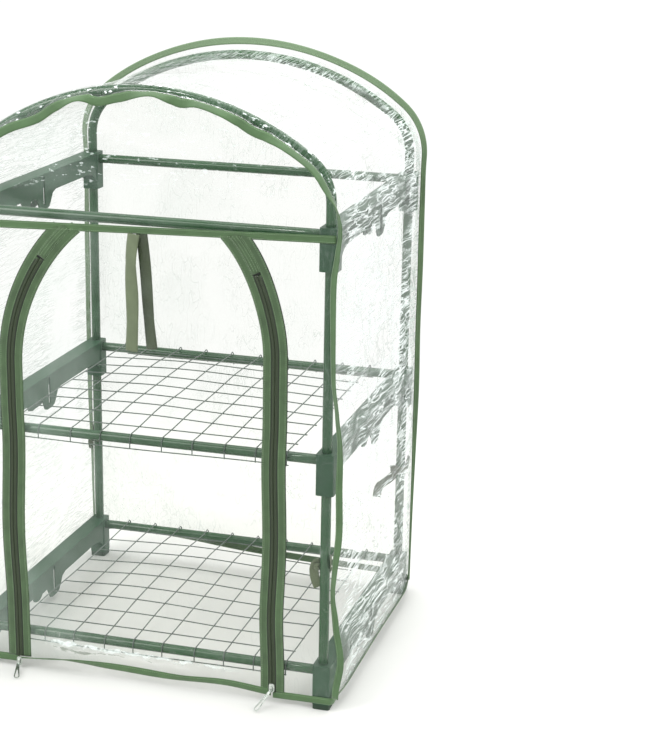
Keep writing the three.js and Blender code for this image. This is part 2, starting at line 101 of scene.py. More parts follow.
# How far outside the cover's nominal line the front seam runs beside the posts, in millimetres by height.
LEG_WAVE = {
    1: [(0.0, 4), (0.03, 3), (0.085, 10), (0.145, 2), (0.19, -2), (0.24, 0), (0.29, 4), (0.37, 3), (0.43, 4),
        (0.475, 0), (0.53, -7), (0.58, -9), (0.68, -10), (0.715, -5), (0.74, -1)],
    -1: [(0.0, 5), (0.08, 8), (0.20, 2), (0.33, 6), (0.43, 4), (0.55, -3), (0.69, -0.5), (0.74, -1)],
}
# How far the tape beside the right post is turned forwards, in degrees, by height.
LEG_TURN = [(0.0, 20), (0.08, 12), (0.15, 10), (0.20, 38), (0.28, 18), (0.37, 2), (0.44, 38), (0.48, 46),
            (0.58, 30), (0.68, 30), (0.74, 42)]
# How far inside that line the lower edge of the tape hangs over the arch, in millimetres by distance across.
ARCH_DROP = [(-0.28, 20), (-0.22, 25), (-0.17, 31), (-0.137, 24), (-0.095, 17), (-0.07, 29), (-0.035, 26),
             (0.024, 14), (0.066, 25), (0.092, 17), (0.129, 18), (0.18, 26), (0.226, 17), (0.26, 15),
             (0.28, 15)]
# The door's hem, by distance across: the height of its middle, and how far it is turned from upright.
DOOR_HEM = [(-0.216, 0.0165), (-0.13, 0.0235), (-0.05, 0.0235), (0.05, 0.0210), (0.13, 0.0245),
            (0.207, 0.0190)]
DOOR_HEM_TURN = [(-0.216, 55), (-0.16, 72), (-0.11, 40), (-0.06, 12), (0.0, 5), (0.07, 22), (0.14, 12),
                 (0.207, 5)]
# How far the cover's back hem rides up, in millimetres, by distance across.
BACK_RISE = [(-0.30, 30), (-0.25, 37), (-0.19, 36), (0.0, 23), (0.20, 15), (0.27, 12), (0.30, 6)]
MM = 0.001
SEED = 21
FRAME = "greenhouse"  # the body that stands still


# ---- numbers

class Lattice:
    """A smooth random field over a plane, from -1 to 1, with one cell to each unit."""

    SIZE = 64

    def __init__(self, seed):
        self.table = np.random.default_rng(seed).random((self.SIZE, self.SIZE)) * 2 - 1

    def at(self, x, y):
        i, j = np.floor(x).astype(int), np.floor(y).astype(int)
        fx, fy = x - i, y - j
        fx, fy = fx * fx * (3 - 2 * fx), fy * fy * (3 - 2 * fy)
        i0, j0 = i % self.SIZE, j % self.SIZE
        i1, j1 = (i + 1) % self.SIZE, (j + 1) % self.SIZE
        low = self.table[i0, j0] * (1 - fx) + self.table[i1, j0] * fx
        high = self.table[i0, j1] * (1 - fx) + self.table[i1, j1] * fx
        return low * (1 - fy) + high * fy


FIELDS = [Lattice(SEED + i) for i in range(6)]


def crumple(s, t, size, seed=0, octaves=4):
    """Height of a creased sheet, about -1 to 1: sharp ridges wherever a warped random field changes sign."""
    warp = FIELDS[(seed + 1) % 6]
    s = s + size * 0.55 * warp.at(t / size * 0.8 + seed, s / size * 0.8)
    t = t + size * 0.55 * warp.at(s / size * 0.7, t / size * 0.7 + 5 * seed)
    total, weight, scale = 0.0, 1.0, 1.0 / size
    for octave in range(octaves):
        field = FIELDS[(seed + octave) % 6]
        total = total + weight * (1 - 3 * np.abs(field.at(s * scale + 7 * octave, t * scale + 3 * octave)))
        weight *= 0.5
        scale *= 2.1
    return total / 1.9  # about the sum of four octaves' weights


def smooth(value, start, end):
    share = np.clip((value - start) / (end - start), 0, 1)
    return share * share * (3 - 2 * share)


def curve_through(x, stations):
    """Smooth curve through a short list of given stations."""
    xs, ys = np.array(stations, float).T
    slopes = np.gradient(ys, xs) * 0.6  # gentler than the stations' own, so that it doesn't overshoot
    k = np.clip(np.searchsorted(xs, x) - 1, 0, len(xs) - 2)
    span = xs[k + 1] - xs[k]
    u = np.clip((x - xs[k]) / span, 0, 1)
    return ((2 * u**3 - 3 * u**2 + 1) * ys[k] + (u**3 - 2 * u**2 + u) * span * slopes[k]
            + (3 * u**2 - 2 * u**3) * ys[k + 1] + (u**3 - u**2) * span * slopes[k + 1])


def unit(v):
    return v / np.maximum(np.linalg.norm(v, axis=-1, keepdims=True), 1e-12)


def rows(*columns):
    """Points from their coordinates, where a coordinate may be one number for all of them."""
    return np.stack(np.broadcast_arrays(*columns), axis=-1)


def lengths(points):
    """Distance along a line to each of its points."""
    return np.concatenate([[0], np.cumsum(np.linalg.norm(np.diff(points, axis=0), axis=1))])


def heading(points):
    """Unit direction of a line at each of its points."""
    return unit(np.gradient(points, axis=0))


def between(table, at, places):
    """The table's rows read between its entries, which are at the given places."""
    return np.stack([np.interp(at, places, column) for column in np.asarray(table, float).T], axis=1)


def resample(points, step):
    """The same line with evenly spaced points, about step apart."""
    points = np.asarray(points, float)
    length = lengths(points)
    count = max(2, int(round(length[-1] / step)) + 1)
    return between(points, np.linspace(0, length[-1], count), length)


def arch_centres(half, top, radii):
    """x and z of the centre of a three-centred arch's shoulder, and z of its crown's centre."""
    shoulder, b = radii["shoulder"], 2 * radii["crown"]
    c = half**2 - 2 * half * shoulder + b * shoulder
    return half - shoulder, top - (b - sqrt(b * b - 4 * c)) / 2, top - radii["crown"]


def arch_line(half, top, radii, foot, step):
    """Points and outward normals in XZ of such an arch, from the right foot over to the left one."""
    shoulder_x, shoulder_z, crown_z = arch_centres(half, top, radii)
    meet = atan2(shoulder_z - crown_z, shoulder_x)
    right = [(half, foot)]
    for x, z, radius, angles in (
            (shoulder_x, shoulder_z, radii["shoulder"], np.linspace(0, meet, 24, endpoint=False)),
            (0, crown_z, radii["crown"], np.linspace(meet, pi / 2, 40))):
        right += [(x + radius * cos(a), z + radius * sin(a)) for a in angles]
    line = resample(right + [(-x, z) for x, z in right[-2::-1]], step)
    along = heading(line)
    return line, rows(along[:, 1], -along[:, 0])


def zip_line(zipper, offset, z):
    """x of a line beside a zip at heights z; offset is positive away from the door."""
    radius = zipper["bend"] + offset
    rise = np.clip(z - zipper["bend_z"], 0, None)
    straight = zipper["x"] + offset
    bent = zipper["x"] - zipper["bend"] + np.sqrt(np.maximum(radius**2 - rise**2, 0))
    wobble = 0.0016 * np.sin(z * 23 + zipper["x"] * 40) * smooth(z, 0.04, 0.2) * smooth(z, 0.48, 0.38)
    return zipper["side"] * (np.where(z > zipper["bend_z"], bent, straight) + wobble)


def front_wave(x, z):
    """How far the whole front hangs out of its plane: nothing in its upper third or at the hem."""
    slack = smooth(z, 0.03, 0.16) * smooth(z, 0.49, 0.37)
    return -0.0035 * slack * (1 + np.sin(z * 11 + x * 2)) * (0.6 + 0.4 * np.sin(x * 4 + z * 5))


def seam_lift(x, z):
    """The seam across the front runs a little uphill to the right, and what is sewn to it goes along."""
    return (0.007 + 0.028 * x) * smooth(z, 0.60, 0.719) * smooth(z, 0.82, 0.725)


def hem_rise(x, y, z):
    """How far the loose bottom of the cover is drawn up, most of all at the back on the left."""
    back = smooth(y, FRONT_Y + 0.03, FILM_BACK)
    side = np.where(x > 0, 0.006 * smooth(y, FRONT_Y, FRONT_Y + 0.06), 0.004 + 0.026 * back)
    behind = smooth(y, FILM_BACK - 0.004, FILM_BACK)
    rise = side * (1 - behind) + MM * curve_through(np.clip(x, -0.3, 0.3), BACK_RISE) * behind
    front = smooth(y, FRONT_Y - 0.012, FRONT_Y)
    return rise * front * smooth(z, 0.17, HEM_TOP)


# ---- meshes

def ring_faces(n, m):
    """Faces between n rings of m points, then the first and the last ring's own."""
    faces = [(i + j, i + (j + 1) % m, i + m + (j + 1) % m, i + m + j)
             for i in range(0, (n - 1) * m, m) for j in range(m)]
    return faces + [tuple(range(m - 1, -1, -1)), tuple(range((n - 1) * m, n * m))]


class Shape:
    """Collects swept, gridded and small repeated solids, then makes one object of them."""

    def __init__(self):
        self.verts, self.faces, self.uvs, self.count = [], [], [], 0

    def add(self, verts, faces, uvs):
        self.verts.append(verts)
        self.faces += [tuple(i + self.count for i in face) for face in faces]
        self.uvs += uvs
        self.count += len(verts)

    def sweep(self, points, across, section):
        """A solid of constant or changing section. across is the section's first axis at each point."""
        points = np.asarray(points, float)
        n, m = len(points), section.shape[-2]
        across = np.broadcast_to(np.asarray(across, float), (n, 3))
        section = np.broadcast_to(section, (n, m, 2))
        along = heading(points)
        across = unit(across - (across * along).sum(1, keepdims=True) * along)
        out = np.cross(along, across)
        verts = points[:, None] + section[:, :, :1] * across[:, None] + section[:, :, 1:] * out[:, None]
        length = lengths(points)
        round_it = lengths(np.concatenate([section[0], section[0][:1]]))
        uvs = []
        for a, b in zip(length[:-1], length[1:]):
            for u, v in zip(round_it[:-1], round_it[1:]):
                uvs += [(a, u), (a, v), (b, v), (b, u)]
        uvs += [tuple(section[0][j]) for j in (*range(m - 1, -1, -1), *range(m))]
        self.add(verts.reshape(-1, 3), ring_faces(n, m), uvs)

    def grid(self, points, uv):
        """An open sheet from a rectangular array of points."""
        nu, nv = points.shape[:2]
        faces, uvs = [], []
        for i in range(nu - 1):
            for j in range(nv - 1):
                corners = ((i, j), (i + 1, j), (i + 1, j + 1), (i, j + 1))
                faces.append(tuple(a * nv + b for a, b in corners))
                uvs += [tuple(uv[a, b]) for a, b in corners]
        self.add(points.reshape(-1, 3), faces, uvs)

    def beads(self, centres, along, across, size):
        """Small rounded bars, such as stitches and coil teeth, each of the given length, width and height."""
        profile, sides = [(-1.0, 0.35), (-0.62, 0.95), (0.62, 0.95), (1.0, 0.35)], 5
        angles = [2 * pi * k / sides for k in range(sides)]
        faces = ring_faces(len(profile), sides)
        uvs = [(0.0, 0.0)] * sum(len(face) for face in faces)
        for centre, a, b, c in zip(centres, along, across, np.cross(along, across)):
            rings = [centre + a * (x * size[0] / 2) + b * (r * cos(angle) * size[1] / 2)
                     + c * (r * sin(angle) * size[2] / 2) for x, r in profile for angle in angles]
            self.add(np.array(rings), faces, uvs)

    def make(self, name, material, solid=True):
        mesh = bpy.data.meshes.new(name)
        mesh.from_pydata(np.concatenate(self.verts).tolist(), [], self.faces)
        layer = mesh.uv_layers.new(name="cloth")
        layer.data.foreach_set("uv", np.array(self.uvs, np.float32).ravel())
        if solid:
            work = bmesh.new()
            work.from_mesh(mesh)
            bmesh.ops.recalc_face_normals(work, faces=work.faces)
            work.to_mesh(mesh)
            work.free()
        mesh.polygons.foreach_set("use_smooth", [True] * len(mesh.polygons))
        mesh.materials.append(material)
        piece = bpy.data.objects.new(name, mesh)
        bpy.context.scene.collection.objects.link(piece)
        return piece


def swept(name, material, line, across, section):
    """A piece that is one sweep."""
    shape = Shape()
    shape.sweep(line, across, section)
    return shape.make(name, material)


def circle(radius, sides):
    angles = np.linspace(0, 2 * pi, sides, endpoint=False)
    return rows(radius * np.cos(angles), radius * np.sin(angles))


def tape_section(width, thickness, columns=6, crown=0.0):
    """A flat strip with thinner edges; crown arches it across."""
    edge_share = 0.45
    a = np.linspace(-0.5, 0.5, columns + 1)
    arch = crown * (1 - (2 * a) ** 2)
    thin = thickness / 2 * np.where(np.abs(a) > 0.49, edge_share, 1.0)
    return np.concatenate([rows(a * width, arch + thin), rows(a * width, arch - thin)[::-1]])


def crisp(piece, angle):
    """Keeps edges sharper than the angle hard and the others smooth."""
    piece.data.set_sharp_from_angle(angle=radians(angle))
    return piece


def settle(piece, slot, *nodes, body=FRAME):
    """Puts a piece on its body, or bakes a door piece's transform into it, in place of its CAD nodes.
    The slot is not used.
    """
    if body == "door":
        hang_on_seam(piece)
    else:
        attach(piece, body)
    if nodes:
        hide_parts(*nodes)
    return piece


# ---- materials

class Graph:
    """Short forms for building the nodes of one material or world."""

    def __init__(self, name, kind="materials"):
        self.owner = getattr(bpy.data, kind).new(name)
        self.owner.use_nodes = True
        self.tree = self.owner.node_tree
        self.tree.nodes.clear()

    def node(self, kind, inputs=None, **settings):
        made = self.tree.nodes.new("ShaderNode" + kind)
        for key, value in settings.items():
            setattr(made, key, value)
        for key, value in (inputs or {}).items():
            if isinstance(value, bpy.types.NodeSocket):
                self.tree.links.new(value, made.inputs[key])
            elif value is not None:
                made.inputs[key].default_value = value
        return made

    def math(self, operation, a, b=0.0, clamp=False):
        return self.node("Math", {0: a, 1: b}, operation=operation, use_clamp=clamp).outputs[0]

    def times(self, a, b):
        return self.math("MULTIPLY", a, b)

    def most(self, a, b):
        return self.math("MAXIMUM", a, b)

    def off(self, value, level):
        """How far a value is from a level, either way."""
        return self.math("ABSOLUTE", self.math("SUBTRACT", value, level))

    def span(self, value, low, high, to_low=0.0, to_high=1.0):
        inputs = {"Value": value, "From Min": low, "From Max": high, "To Min": to_low, "To Max": to_high}
        return self.node("MapRange", inputs).outputs[0]

    def mix(self, factor, a, b):
        a, b = (c if isinstance(c, bpy.types.NodeSocket) else (*c, 1.0) for c in (a, b))
        return self.node("Mix", {"Factor": factor, 6: a, 7: b}, data_type="RGBA").outputs[2]

    def tones(self, noise, low, high, base, dark, light):
        """A colour that a noise clouds between a darker and a lighter shade of itself."""
        return self.mix(self.span(noise, low, high), shade(base, dark), shade(base, light))

    def place(self):
        return self.node("TexCoord").outputs["Object"]

    def cloth(self):
        return self.node("UVMap", uv_map="cloth").outputs[0]

    def axes(self, vector):
        return self.node("SeparateXYZ", {0: vector}).outputs

    def scaled(self, vector, scale, rotation=(0, 0, 0)):
        return self.node("Mapping", {"Vector": vector, "Scale": scale, "Rotation": rotation}).outputs[0]

    def noise(self, vector, scale, detail=3.0, roughness=0.55, distortion=0.0):
        inputs = {"Vector": vector, "Scale": scale, "Detail": detail, "Roughness": roughness}
        return self.node("TexNoise", {**inputs, "Distortion": distortion}).outputs[0]

    def bump(self, height, strength, distance, normal=None):
        inputs = {"Height": height, "Strength": strength, "Distance": distance, "Normal": normal}
        return self.node("Bump", inputs).outputs[0]

    def finish(self, shader, kind="OutputMaterial"):
        self.node(kind, {"Surface": shader})
        return self.owner

    def principled(self, color, roughness, normal=None, **more):
        color = color if isinstance(color, bpy.types.NodeSocket) else (*color, 1.0)
        inputs = {"Base Color": color, "Roughness": roughness, "Normal": normal}
        inputs.update({key.replace("_", " "): value for key, value in more.items()})
        return self.node("BsdfPrincipled", inputs).outputs[0]

    def blend(self, factor, a, b):
        return self.node("MixShader", {0: factor, 1: a, 2: b}).outputs[0]


def shade(color, factor):
    """A darker or lighter version of a colour."""
    return tuple(min(1, factor * c) for c in color)


def enamel_material(name, base, worn):
    """Sprayed enamel on steel tube: slight orange peel, cloudy colour, a few rubbed spots."""
    g = Graph(name)
    place = g.place()
    color = g.tones(g.noise(place, 9, 4), 0.35, 0.7, base, 0.86, 1.18)
    rub = g.span(g.noise(place, 70, 6, 0.7), 0.66, 0.72)
    color = g.mix(g.times(rub, 0.35), color, worn)
    rough = g.span(g.noise(place, 24, 3), 0.3, 0.7, 0.15, 0.28)
    peel = g.bump(g.noise(place, 620, 2), 0.12, 0.0004)
    dents = g.bump(g.noise(place, 38, 2), 0.35, 0.0008, peel)
    return g.finish(g.principled(color, rough, dents, Specular_IOR_Level=0.45, Coat_Weight=0.35,
                                 Coat_Roughness=0.06))


def moulding_material(name, base, rough_low, rough_high):
    """Moulded plastic: fine spark grain, faint flow marks and paler scuffs."""
    g = Graph(name)
    place = g.place()
    flow = g.noise(g.scaled(place, (1, 0.25, 1)), 22, 4, 0.6, 0.8)
    color = g.tones(flow, 0.3, 0.7, base, 0.85, 1.14)
    scuff = g.span(g.noise(g.scaled(place, (1, 6, 1)), 60, 5, 0.7), 0.64, 0.74)
    color = g.mix(g.times(scuff, 0.25), color, shade(base, 2.2))
    rough = g.span(flow, 0.3, 0.7, rough_low, rough_high)
    grain = g.bump(g.noise(place, 1900, 2), 0.25, 0.00025)
    wavy = g.bump(g.noise(place, 55, 2), 0.22, 0.0007, grain)
    return g.finish(g.principled(color, rough, wavy, Specular_IOR_Level=0.3))


def wire_material():
    """Plastic-dipped wire: thin glossy coat, pooled darker in places."""
    g = Graph("wire")
    place = g.place()
    color = g.mix(g.span(g.noise(place, 85, 3), 0.35, 0.65), (0.050, 0.078, 0.062), (0.105, 0.140, 0.118))
    rough = g.span(g.noise(place, 300, 2), 0.3, 0.7, 0.26, 0.45)
    lumps = g.bump(g.noise(place, 420, 2), 0.4, 0.0004)
    return g.finish(g.principled(color, rough, lumps, Coat_Weight=0.3, Coat_Roughness=0.15))


def woven_material(name, base, pitch=0.0011, yarn_gap_shade=0.35, soil=0.15, lit_from_above=None):
    """Woven tape: two sets of yarns crossing with painted shade in the gaps between them, fuzzy surface,
    uneven dye and a soft sheen. With a colour lit from above it is painted paler near the roof, where the
    light from above falls."""
    g = Graph(name)
    across, along = g.axes(g.cloth())[:2]
    turns = 2 * pi / pitch
    warp = g.math("SINE", g.times(along, turns))
    weft = g.math("SINE", g.times(across, turns * 0.8))
    ribs = g.span(g.math("ADD", g.times(warp, weft), g.times(weft, 0.5)), -1.5, 1.5)
    place = g.place()
    color = g.tones(g.noise(place, 30, 4, 0.6), 0.3, 0.72, base, 1 - soil, 1 + soil)
    # Painted light: the tape is paler near the roof, as if lit from above.
    if lit_from_above:
        color = g.mix(g.span(g.axes(place)[2], 0.72, 0.90), color, lit_from_above)
    # Painted shade: the gaps between the yarns are darkened towards black.
    color = g.mix(g.span(ribs, 0.75, 0.1, 0, 0.6), color, g.mix(yarn_gap_shade, color, (0, 0, 0)))
    fuzz = g.noise(place, 1500, 2)
    color = g.mix(g.span(fuzz, 0.6, 0.8, 0, 0.35), color, shade(base, 1.5))
    lumpy = g.bump(g.noise(place, 260, 3), 0.35, 0.0006, g.bump(ribs, 0.5, 0.0003))
    rough = g.span(fuzz, 0.3, 0.7, 0.62, 0.82)
    return g.finish(g.principled(color, rough, lumpy, Sheen_Weight=0.25, Sheen_Roughness=0.5))


def thread_material(name, base):
    """Twisted thread or nylon coil: fine slanted plies."""
    g = Graph(name)
    plies = g.noise(g.scaled(g.place(), (1, 1, 2.5), (0.6, 0.3, 0.7)), 900, 2)
    color = g.tones(plies, 0.35, 0.65, base, 0.65, 1.3)
    return g.finish(g.principled(color, 0.42, g.bump(plies, 0.4, 0.0002)))


def metal_material():
    """Bright plated zinc with fine tumbling scratches."""
    g = Graph("plated_metal")
    place = g.place()
    scratch = g.noise(g.scaled(place, (1, 1, 9)), 900, 3)
    color = g.mix(g.span(g.noise(place, 160, 3), 0.3, 0.7), (0.40, 0.45, 0.41), (0.72, 0.75, 0.71))
    rough = g.span(scratch, 0.3, 0.7, 0.14, 0.36)
    return g.finish(g.principled(color, rough, g.bump(scratch, 0.15, 0.0002), Metallic=1.0))


def arch_glint_specks(g, cloth, y, z):
    """Painted glints: short bright specks where the film is drawn tight over the two arch tubes."""
    arches = g.most(g.span(y, FRONT_Y + 0.015, FRONT_Y + 0.006), g.span(g.off(y, BACK_Y), 0.014, 0.006))
    tight = g.times(arches, g.span(z, 0.775, 0.80))
    speck = g.span(g.noise(g.scaled(cloth, (0.45, 1, 1)), 150, 3, 0.6), 0.60, 0.64)
    return g.times(speck, tight)


def low_crease_glint(g, cloth, x, y, z):
    """A painted glint: a sharp broken white line along a crease across the bottom of the door, below the
    front bar.
    """
    height, slope = 0.050, 0.02
    ragged = g.times(g.math("SUBTRACT", g.noise(cloth, 38, 3, 0.6), 0.5), 0.016)
    away = g.off(g.math("ADD", g.math("ADD", z, g.times(x, slope)), ragged), height)
    line = g.times(g.span(away, 0.0034, 0.0014), g.span(g.noise(cloth, 48, 2), 0.40, 0.48))
    reach = g.times(g.span(x, -0.19, -0.15), g.span(x, 0.16, 0.11))
    on_front = g.span(y, FRONT_Y - 0.005, FRONT_Y - 0.010)
    return g.times(line, g.times(reach, on_front))


def film_material(name, haze_and_veil_amount, glint_strength, tint, dim, glare, spread, needle_sets):
    """Clear crumpled PVC: see-through and slightly green, with needle-like creases painted white over dark
    things as glints, and sharp reflections that break up along the creases. It is roughest low on the right.
    tint is what it lets straight through; dim is how much light it passes on to the things inside;
    spread is the noise level above which it gets painted glints, so a lower one marks more of the sheet. Each
    set of needles has its turn, its stretch along the needle, its scale and its width."""
    g = Graph(name)
    cloth = g.cloth()
    x, y, z = g.axes(g.place())
    behind_front = (FRONT_Y, FRONT_Y + 0.05)
    rough_part = g.times(g.span(x, -0.1, 0.29, 0.3, 1.0), g.span(y, *behind_front, 0.12, 1.0))
    worn = g.most(g.span(y, MID_Y - 0.05, BACK_Y, 0.0, 0.05), g.span(z, 0.28, 0.06, 0.0, 0.05))
    worn = g.times(g.times(worn, g.span(x, 0.15, 0.28)), g.span(y, *behind_front))
    broad = g.math("ADD", g.noise(cloth, 6, 3, 0.6, 0.6), worn)
    slant = g.noise(cloth, 4.5, 2)
    needles = None
    for turn, stretch, scale, width in needle_sets:
        ridge = g.noise(g.scaled(cloth, (1.0, stretch, 1.0), (0, 0, turn)), scale, 2, 0.5, 0.5)
        share = g.span(slant if turn > 0 else broad, spread - 0.02, spread + 0.10)
        line = g.times(g.span(g.off(ridge, 0.5), width, 0.2 * width), share)
        needles = line if needles is None else g.most(needles, line)
    crease = g.span(g.off(g.noise(cloth, 20, 4, 0.62, 1.1), 0.5), 0.020, 0.0)
    # The marks are painted glints: white where the creases would catch the light. The needles and the crease
    # also bump the surface.
    marks = g.most(needles, g.times(crease, 0.15))
    marks = g.times(marks, g.times(g.span(broad, spread, spread + 0.12), rough_part))
    marks = g.most(g.most(marks, arch_glint_specks(g, cloth, y, z)), low_crease_glint(g, cloth, x, y, z))
    small = g.bump(g.noise(cloth, 120, 3, 0.6), 0.05, 0.0005)
    normal = g.bump(g.times(needles, rough_part), 0.4, 0.0004, g.bump(crease, 0.12, 0.0006, small))
    # Painted sheen: the milky layer is laid on more where the sheet is seen edge-on.
    edge = g.node("LayerWeight", {"Blend": 0.06, "Normal": normal}).outputs["Facing"]
    # Cloudiness of the film, plus a painted reflection veil that is laid on heavier towards the left.
    haze_and_veil = g.times(g.span(broad, 0.36, 0.62, 0.0, haze_and_veil_amount), g.span(x, 0.02, -0.16, 1.0, 4.5))
    cover = g.math("ADD", g.times(marks, glint_strength), haze_and_veil)
    cover = g.math("ADD", cover, g.times(edge, 0.06), clamp=True)
    seen = g.node("LightPath").outputs["Is Camera Ray"]
    clear = g.node("BsdfTransparent", {"Color": g.mix(seen, dim, tint)}).outputs[0]
    # The milky layer carries the film's cloudiness, the painted glints and the painted sheen.
    milk_and_glint_color = g.mix(marks, (0.68, 0.80, 0.73), (0.88, 0.97, 0.94))
    milk_and_glint = g.principled(milk_and_glint_color, 0.2, normal, Specular_IOR_Level=0.6)
    shine = g.node("BsdfGlossy", {"Color": (1, 1, 1, 1), "Roughness": 0.05, "Normal": normal}).outputs[0]
    mirror = g.node("Fresnel", {"IOR": 1.38, "Normal": normal}).outputs[0]
    mirror = g.math("MINIMUM", g.times(mirror, glare), 0.5)
    return g.finish(g.blend(mirror, g.blend(cover, clear, milk_and_glint), shine))


def floor_material():
    """Plain paper that fades away to nothing far from the object."""
    g = Graph("studio_floor")
    tone = g.span(g.noise(g.place(), 3, 2), 0.2, 0.8)
    paper = g.principled(g.mix(tone, (0.80, 0.80, 0.78), (0.83, 0.83, 0.81)), 0.7)
    away = g.node("VectorMath", {0: g.place()}, operation="LENGTH").outputs["Value"]
    open_air = g.node("BsdfTransparent", {"Color": (1, 1, 1, 1)}).outputs[0]
    return g.finish(g.blend(g.span(away, 0.62, 1.5), paper, open_air))


ENAMEL = enamel_material("green_enamel", (0.023, 0.086, 0.031), (0.09, 0.15, 0.10))
MOULDING = moulding_material("bracket_plastic", (0.030, 0.084, 0.044), 0.36, 0.5)
FOOT_PLASTIC = moulding_material("foot_plastic", (0.030, 0.055, 0.035), 0.42, 0.6)
WIRE = wire_material()
BINDING = woven_material("binding_tape", (0.074, 0.152, 0.056))
FRONT_BINDING = woven_material("front_binding_tape", (0.074, 0.152, 0.057))
PALE_BINDING = woven_material("pale_binding_tape", (0.110, 0.184, 0.085), lit_from_above=(0.185, 0.280, 0.158))
ZIP_CLOTH = woven_material("zip_tape", (0.056, 0.110, 0.042), 0.0014, soil=0.26)
TIE_CLOTH = woven_material("tie_tape", (0.140, 0.178, 0.098), 0.0013, 0.28)
# A darker copy of the tie tape, for the ties inside the door and at the back: painted shade.
SHADED_TIE_CLOTH = woven_material("shaded_tie_tape", (0.062, 0.088, 0.042), 0.0013, 0.28)
THREAD = thread_material("pale_thread", (0.26, 0.38, 0.22))
COIL = thread_material("olive_coil", (0.036, 0.056, 0.024))
DARK_CORD = thread_material("dark_cord", (0.010, 0.016, 0.008))
METAL = metal_material()
FILM = film_material("clear_film", haze_and_veil_amount=0.036, glint_strength=0.5, tint=(0.972, 0.977, 0.962),
                     dim=(0.84, 0.84, 0.82), glare=0.4, spread=0.42,
                     needle_sets=((0.7, 0.3, 60, 0.018), (-0.9, 0.35, 48, 0.018)))
ROUGH_FILM = film_material("crumpled_film", haze_and_veil_amount=0.012, glint_strength=0.95, tint=(0.985, 0.990, 0.983),
                           dim=(0.86, 0.86, 0.84), glare=0.15, spread=0.36,
                           needle_sets=((0.25, 0.07, 105, 0.034), (0.50, 0.10, 84, 0.030),
                                        (-0.15, 0.08, 95, 0.028)))


# ---- tube frame

def tube(name, points, across):
    """A steel tube with a slightly rounded rim at each end."""
    rim, rim_scale = 0.0007, 0.93
    first, last = rim * unit(points[1] - points[0]), rim * unit(points[-1] - points[-2])
    line = np.concatenate([[points[0], points[0] + first], points[1:-1], [points[-1] - last, points[-1]]])
    scale = np.ones(len(line))
    scale[0] = scale[-1] = rim_scale
    section = circle(TUBE_R, 28)[None] * scale[:, None, None]
    settle(crisp(swept(f"{name}.enamelled", ENAMEL, line, across, section), 50), "tube", name)


def make_tubes():
    for node, (low, high) in ((n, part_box(n)) for n in sorted(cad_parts)):
        centre = (low + high) / 2
        if node.startswith("post_"):
            tube(node, rows(centre.x, centre.y, np.linspace(low.z, high.z, 12)), (1, 0, 0))
        if node.startswith("bar_"):
            tube(node, rows(np.linspace(low.x, high.x, 16), centre.y, centre.z), (0, 1, 0))
    for node, y in (("arch_front", FRONT_Y), ("arch_back", BACK_Y)):
        line, _ = arch_line(POST_X, ARCH_TOP, ARCH_RADII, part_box(node)[0].z, 0.009)
        tube(node, rows(line[:, 0], y, line[:, 1]), (0, 1, 0))


# ---- wire shelves

def mesh_sway(x, y, seed):
    """A welded mesh is never quite flat: it bows up on the left and has small dents, held at the bars."""
    free = smooth(np.abs(y - MID_Y), 0.235, 0.10)
    dents = FIELDS[seed].at(x * 9 + 3, y * 9)
    bow = 0.0085 * np.exp(-((x + 0.07) / 0.15) ** 2) - 0.0015
    return free * (bow + 0.0014 * dents + 0.0010 * np.sin(x * 11 + y * 8))


def shelf_wires(name, level, seed):
    """Long wires hooked over both bars, cross wires under them and an edge wire outside each row of
    hooks."""
    shape = Shape()
    section = circle(WIRE_R, 8)
    rest = TUBE_R + WIRE_R + 0.0003  # from a bar's axis to a wire's
    lap = 1.75 * WIRE_R  # between the axes of two welded wires
    half_x = MESH_PITCH * (LONG_WIRES - 1) / 2
    drop = 0.0125  # how far the hooks reach below the bars' axes
    stub = 0.0025  # how far the cross wires stand past the last long wire
    ends = ((-1, FRONT_Y, 0.0), (1, BACK_Y, 0.0025))  # the back hooks stand a little higher
    for i in range(LONG_WIRES):
        x = (i - (LONG_WIRES - 1) / 2) * MESH_PITCH + 0.0012 * sin(i * 2.3 + seed)
        hooks = []
        for end, bar_y, raised in ends:
            hooks.append([(bar_y + end * rest, level - drop)] + [
                (bar_y + end * rest * cos(a), level + (rest + raised) * sin(a))
                for a in np.linspace(0, pi / 2, 7)])
        inner = np.linspace(FRONT_Y + 0.012, BACK_Y - 0.012, 60)
        run = [(y, level + rest + float(mesh_sway(x, y, seed))) for y in inner]
        ys, zs = np.array(hooks[0] + run + hooks[1][::-1]).T
        shape.sweep(rows(x + 0.0009 * np.sin(ys * 14 + i * 1.7), ys, zs), (1, 0, 0), section)
    for i in range(CROSS_WIRES):
        xs = np.linspace(-half_x - stub, half_x + stub, 70)
        ys = MID_Y + (i - (CROSS_WIRES - 1) / 2) * MESH_PITCH + 0.0010 * np.sin(xs * 13 + i * 2.1)
        zs = level + rest + mesh_sway(xs, ys, seed) - lap
        shape.sweep(rows(xs, ys, zs), (0, 1, 0), section)
    for end, bar_y, _ in ends:
        xs = np.linspace(-half_x - stub, half_x + stub, 40)
        zs = level - drop + 0.0012 + 0.0008 * np.sin(xs * 15 + end)
        shape.sweep(rows(xs, bar_y + end * (rest + lap), zs), (0, 1, 0), section)
    settle(crisp(shape.make(f"{name}.wires", WIRE), 60), "wire", name, body=name)


# ---- mouldings and metal that keep their CAD shape

